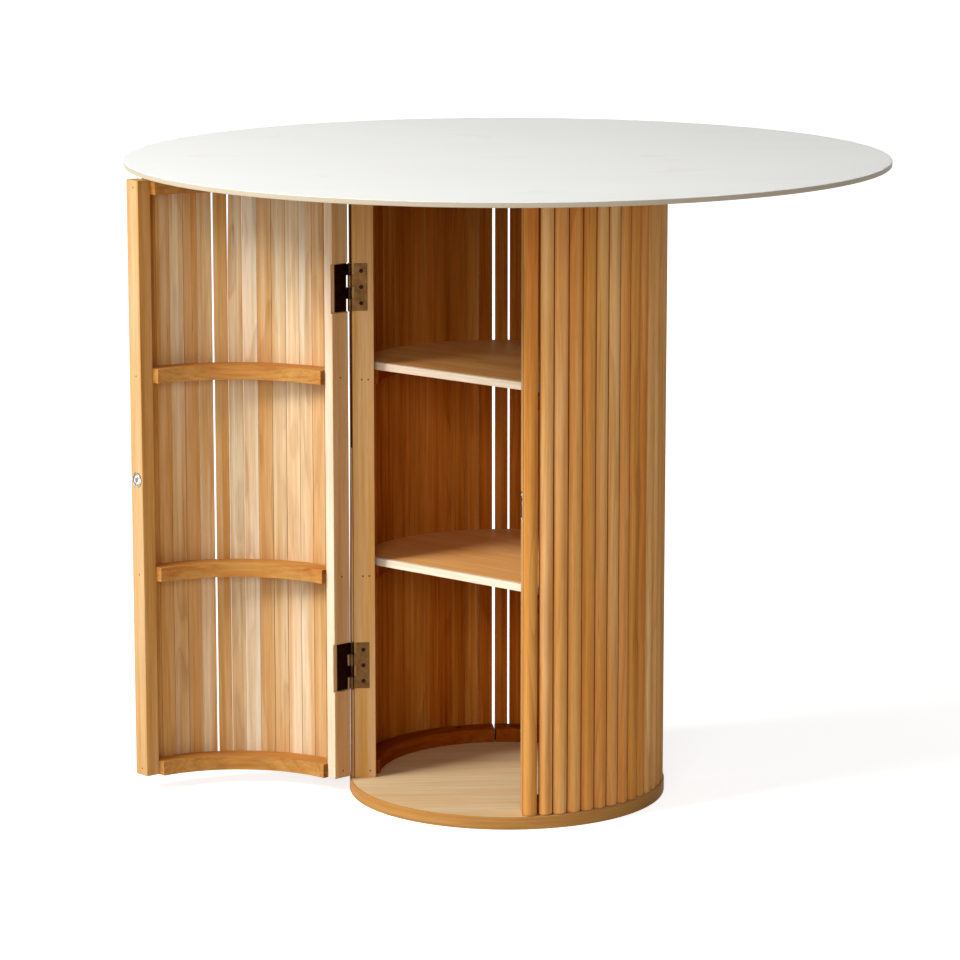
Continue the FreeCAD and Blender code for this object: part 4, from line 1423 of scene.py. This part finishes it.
@dataclass
class Fixings:
    """Every screw of the table, and the brads that pin the battens, which show as dark points."""

    hinge_screw: Screw = Screw(2.5, 1.2, 1.3, 11.0)
    ledger_screw: Screw = Screw(3.5, 2.0, 1.9, 28.0)
    post_screw: Screw = Screw(4.2, 2.4, 2.3, 38.0)
    strike_screw: Screw = Screw(2.2, 0.0, 1.1, 11.0, pan=0.6)
    leaf_inset: float = 13.7
    leaf_pitch: float = 19.2
    door_leaf_face: float = 1.8
    ledger_back: float = 8.5
    ledger_inset: float = 15.3
    post_recess: float = 0.5
    slab_bottom: float = 760.0
    strike_pitch: float = 28.5
    strike_thickness: float = 0.8
    brad_radius: float = 0.95
    brad_length: float = 1.0
    brad_proud: float = 0.04
    brad_spots: tuple[float, float, float, float] = (165.5, 173.0, 166.0, 172.5)

    def screws(self, piece: Piece, screw: Screw, drives: Iterable[Drive], *finishes: Material) -> None:
        """Makes a piece of equal screws.

        Args:
            piece: The empty piece.
            screw: The screw.
            drives: Turn, spot and facing of each one.
            finishes: Finish of the screw, and of its recess, which is near-black painted shade.
        """
        draw = random.Random(piece.name)
        stock = screw.build()
        for turn, spot, facing in drives:
            twist = Matrix.Rotation(draw.uniform(0, math.pi), 4, "Z")
            piece.add(stock.copy(), drive_in(turn, spot, facing, piece.body) @ twist, *finishes)
        stock.free()
        piece.finish()

    def brads(self, piece: Piece, drives: Iterable[Drive], finish: Material) -> None:
        """Makes a piece of brads.

        Args:
            piece: The empty piece.
            drives: Turn, spot and facing of each one.
            finish: Finish of the heads.
        """
        for turn, spot, facing in drives:
            brad = drum(self.brad_radius, -self.brad_length, self.brad_length + self.brad_proud, 12)
            piece.add(brad, drive_in(turn, spot, facing, piece.body), finish)
        piece.finish()

    def build(self, finishes: Finishes, seats: HingeSeats, uprights: Uprights, rails: Rails) -> None:
        """Makes every set of screws and brads.

        Args:
            finishes: The table's finishes.
            seats: What the hinges need.
            uprights: The posts and stiles, for the catch's place.
            rails: The ledgers and ribs, for their heights.
        """
        edge = WALL.half_gap
        inset_at = WALL.pin_offset - self.leaf_inset
        rows = [height + step * self.leaf_pitch for height in seats.heights for step in (-1, 0, 1)]
        for name, body, node, face, facing in (
                ("screws_in_post_leaves", Body.CABINET, "hinge_screws_cabinet", -edge, "forward"),
                ("screws_in_door_leaves", Body.DOOR, "hinge_screws_door", self.door_leaf_face, "backward")):
            drives = [(WALL.hinge, (inset_at, face, height), facing) for height in rows]
            self.screws(Piece(name, body, "hinge_bronze", node), self.hinge_screw, drives,
                        finishes.dark_bronze_with_painted_shade, finishes.brad)

        circle = WALL.back - self.ledger_back
        heads = (("up", WALL.floor + rails.height), ("down", WALL.ceiling - rails.height))
        drives = [(WALL.latch + 90 * order + turn, (circle, 0, height), facing) for facing, height in heads
                  for order in range(3) for turn in (self.ledger_inset, 90 - self.ledger_inset)]
        self.screws(Piece("screws_in_ledgers", Body.CABINET, "screw_steel", "ledger_screws"),
                    self.ledger_screw, drives, finishes.zinc, finishes.brad)

        depth, width = uprights.post
        heads = (("down", self.post_recess), ("up", self.slab_bottom - self.post_recess))
        drives = [(turn, (WALL.face - depth / 2, side * (edge + width / 2), height), facing)
                  for turn, side in ((WALL.latch, 1), (WALL.hinge, -1)) for facing, height in heads]
        self.screws(Piece("screws_in_posts", Body.CABINET, "screw_steel", "post_screws"), self.post_screw,
                    drives, finishes.zinc, finishes.brad)

        reach, middle = uprights.catch_radius, uprights.catch_height
        strike = [(WALL.latch, (reach, edge - self.strike_thickness, middle + side * self.strike_pitch / 2),
                   "backward") for side in (-1, 1)]
        self.screws(Piece("screws_in_strike", Body.CABINET, "catch_steel", "strike_screws"),
                    self.strike_screw, strike, finishes.nickel, finishes.brad)
        magnet = [(WALL.latch, (reach, -edge + uprights.magnet_proud, middle), "forward")]
        self.screws(Piece("screw_in_magnet", Body.DOOR, "catch_steel", "catch_magnet_screw"),
                    self.hinge_screw, magnet, finishes.nickel, finishes.brad)

        ledgers, ribs = ([bottom + rails.height / 2 for _, bottom in levels]
                         for levels in (rails.ledger_levels, rails.rib_levels))
        rear, front, latch, stile = self.brad_spots
        posts = [(WALL.hinge, (spot, -edge, height), "forward")
                 for height in ledgers[1:] for spot in (rear, front)]
        posts += [(WALL.hinge, (rear, -edge, ledgers[0]), "forward")]
        posts += [(WALL.latch, (latch, edge, height), "backward") for height in ledgers]
        self.brads(Piece("brads_in_posts", Body.CABINET, "screw_steel"), posts, finishes.brad)
        stiles = [(WALL.hinge, (stile, edge, height), "backward") for height in ribs]
        stiles += [(WALL.latch, (stile, -edge, height), "forward") for height in ribs]
        self.brads(Piece("brads_in_stiles", Body.DOOR, "screw_steel"), stiles, finishes.brad)


@dataclass
class Hardware:
    """Hinge leaves, pins, the magnet and its strike plate. All but the magnet are the frame's own shapes."""

    ease_width: float = 0.18
    magnet_radius: float = 8.25
    magnet_thickness: float = 5.0
    magnet_rings: tuple[tuple[float, float], ...] = ((1.1, 0.0), (0.7, -0.5), (0.4, 0.4), (2.6, 0.1))

    def copy(self, node: bpy.types.Object) -> BMesh:
        """Makes a copy of a CAD node with its edges eased.

        Args:
            node: The node's object.

        Returns:
            The closed solid, in metres.
        """
        bm = bmesh.new()
        bm.from_mesh(node.data)
        bmesh.ops.remove_doubles(bm, verts=bm.verts[:], dist=1e-6)
        bmesh.ops.dissolve_limit(bm, angle_limit=math.radians(2), verts=bm.verts[:], edges=bm.edges[:])
        soften(bm, self.ease_width * MM, limit=math.radians(35))
        for face in bm.faces:
            face.material_index = 0
        return bm

    def magnet(self) -> BMesh:
        """Makes the disc magnet, face up: a rim, a groove, and a field that is sunk at its middle.

        Returns:
            The closed solid, whose groove has material index 1, for a near-black finish that is painted
            shade.
        """
        bm = drum(self.magnet_radius, -self.magnet_thickness, self.magnet_thickness, 48)
        soften(bm, 0.3)
        cap = max(bm.faces, key=lambda face: face.calc_center_median().z)
        # The groove's sunk faces get index 1, near-black as painted shade
        for made, (_, rise) in zip(inset(bm, [cap], self.magnet_rings), self.magnet_rings):
            for face in made:
                face.material_index = int(rise < 0)
        face_out(bm)
        return bm

    def build(self, nodes: dict[str, bpy.types.Object], finishes: Finishes, uprights: Uprights) -> None:
        """Makes every metal part but the screws.

        Args:
            nodes: The frame's nodes.
            finishes: The table's finishes.
            uprights: The posts and stiles, for the catch's place.
        """
        # The door's leaves take the darker bronze, painted shade
        parts = (("cabinet_leaf", "leaf_on_post", Body.CABINET, finishes.bronze),
                 ("door_leaf", "leaf_on_door", Body.DOOR, finishes.dark_bronze_with_painted_shade),
                 ("pin", "pin_of_hinge", Body.CABINET, finishes.bronze))
        copied = [(f"{level}_hinge_{node}", f"{name}_{level}", body, "hinge_bronze", finish)
                  for level in ("lower", "upper") for node, name, body, finish in parts]
        copied.append(("strike_plate", "plate_of_catch", Body.CABINET, "catch_steel", finishes.nickel))
        for node, name, body, slot, finish in copied:
            Piece(name, body, slot, node).add(self.copy(nodes[node]), Matrix.Identity(4), finish).finish()
        spot = (uprights.catch_radius, -WALL.half_gap + uprights.magnet_proud, uprights.catch_height)
        piece = Piece("magnet_of_catch", Body.DOOR, "catch_steel", "catch_magnet")
        place = drive_in(WALL.latch, spot, "forward", Body.DOOR)
        piece.add(self.magnet(), place, finishes.nickel, finishes.brad).finish()


# The studio


@dataclass
class Studio:
    """A pale floor, soft square lamps and the camera. Lengths here are in metres, and powers in watts."""

    camera_place: Place = (0.0, -4.6114, 1.2738)
    camera_turn: Place = (79.01, 0.0, 0.404)
    focal_length: float = 147.59
    far: float = 200.0
    floor_half: float = 40.0
    world: float = 0.22
    aim: Place = (0.0, 0.0, 0.42)
    lamp_side: float = 1.6
    lamps: tuple[tuple[str, Place, float], ...] = (
        ("key_lamp", (-3.2, -1.6, 3.0), 195.0), ("top_lamp", (-1.2, -0.6, 3.0), 12.0),
        ("front_lamp", (-0.6, -4.7, 2.0), 56.0))

    def build_lamps(self) -> None:
        """Hangs the lamps."""
        for name, place, power in self.lamps:
            data = bpy.data.lights.new(name, "AREA")
            data.size = self.lamp_side
            data.energy = power
            lamp = bpy.data.objects.new(name, data)
            lamp.location = place
            lamp.rotation_euler = (Vector(self.aim) - Vector(place)).to_track_quat("-Z", "Y").to_euler()
            bpy.context.scene.collection.objects.link(lamp)

    def seen(self, tree: Tree) -> Node:
        """Adds a factor that is 1 for what the camera, metal and glass see.

        Args:
            tree: The floor's or the world's node tree.

        Returns:
            Its last node.
        """
        path = add_node(tree, "LightPath").outputs
        both = add_node(tree, "Math", {0: path["Is Camera Ray"], 1: path["Is Glossy Ray"]},
                        operation="MAXIMUM")
        return add_node(tree, "Math", {0: both, 1: path["Is Transmission Ray"]}, operation="MAXIMUM")

    def build_floor(self) -> None:
        """Lays the floor: near white where it is lit, and it keeps the table's shadow."""
        bm = bmesh.new()
        bmesh.ops.create_grid(bm, x_segments=1, y_segments=1, size=self.floor_half)
        data = bpy.data.meshes.new("floor")
        bm.to_mesh(data)
        bm.free()
        floor = bpy.data.objects.new("floor", data)
        bpy.context.scene.collection.objects.link(floor)
        material, tree, shader = start_material("white_studio_floor")
        connect(tree, shader, {"Base Color": grey(0.7), "Roughness": 0.9, "Specular IOR Level": 0.0})
        place = add_node(tree, "TexCoord").outputs["Object"]
        reach = add_node(tree, "VectorMath", {0: place}, operation="LENGTH")
        level = add_node(tree, "MapRange", {"Value": reach, "From Min": 0.5, "From Max": 2.5, "To Min": 0.76,
                                            "To Max": 1.0})
        strength = add_node(tree, "Math", {0: self.seen(tree), 1: level}, operation="MULTIPLY")
        glow = add_node(tree, "Emission", {"Color": grey(1.0), "Strength": strength})
        total = add_node(tree, "AddShader", {0: shader, 1: glow})
        connect(tree, tree.nodes["Material Output"], {"Surface": total})
        data.materials.append(material)

    def build_world(self) -> None:
        """Sets an even white world that looks white and lights softly."""
        world = bpy.data.worlds.new("white_studio")
        bpy.context.scene.world = world
        world.use_nodes = True
        tree = world.node_tree
        strength = add_node(tree, "MapRange", {"Value": self.seen(tree), "To Min": self.world,
                                               "To Max": 1.0})
        connect(tree, tree.nodes["Background"], {"Color": grey(1.0), "Strength": strength})

    def build_camera(self) -> None:
        """Sets the camera at eye height in front of the table."""
        data = bpy.data.cameras.new("camera")
        data.lens = self.focal_length
        data.clip_end = self.far
        camera = bpy.data.objects.new("camera", data)
        camera.location = self.camera_place
        camera.rotation_euler = [math.radians(angle) for angle in self.camera_turn]
        bpy.context.scene.collection.objects.link(camera)
        bpy.context.scene.camera = camera

    def build(self) -> None:
        """Sets up everything round the table."""
        bpy.context.scene.view_settings.view_transform = "Standard"
        self.build_camera()
        self.build_floor()
        self.build_world()
        self.build_lamps()


def corners(pair: tuple[Vector, Vector]) -> list[list[float]]:
    """Turns a pair of corners to plain lists of numbers."""
    return [[float(number) for number in corner] for corner in pair]


def main() -> None:
    """Builds the table and its studio around the frame."""
    logging.basicConfig(level=logging.INFO, format="%(message)s")
    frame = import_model()
    Studio().build()
    finishes, seats, uprights, battens, rails = Finishes(), HingeSeats(), Uprights(), Battens(), Rails()
    Slab().build(finishes)
    Boards().build(finishes)
    Shelves().build(finishes)
    uprights.build(finishes, seats)
    battens.build_wall(finishes, seats)
    battens.build_door(finishes, seats)
    rails.build(finishes)
    Fixings().build(finishes, seats, uprights, rails)
    Hardware().build(frame["nodes"], finishes, uprights)


if __name__ == "__main__":
    main()
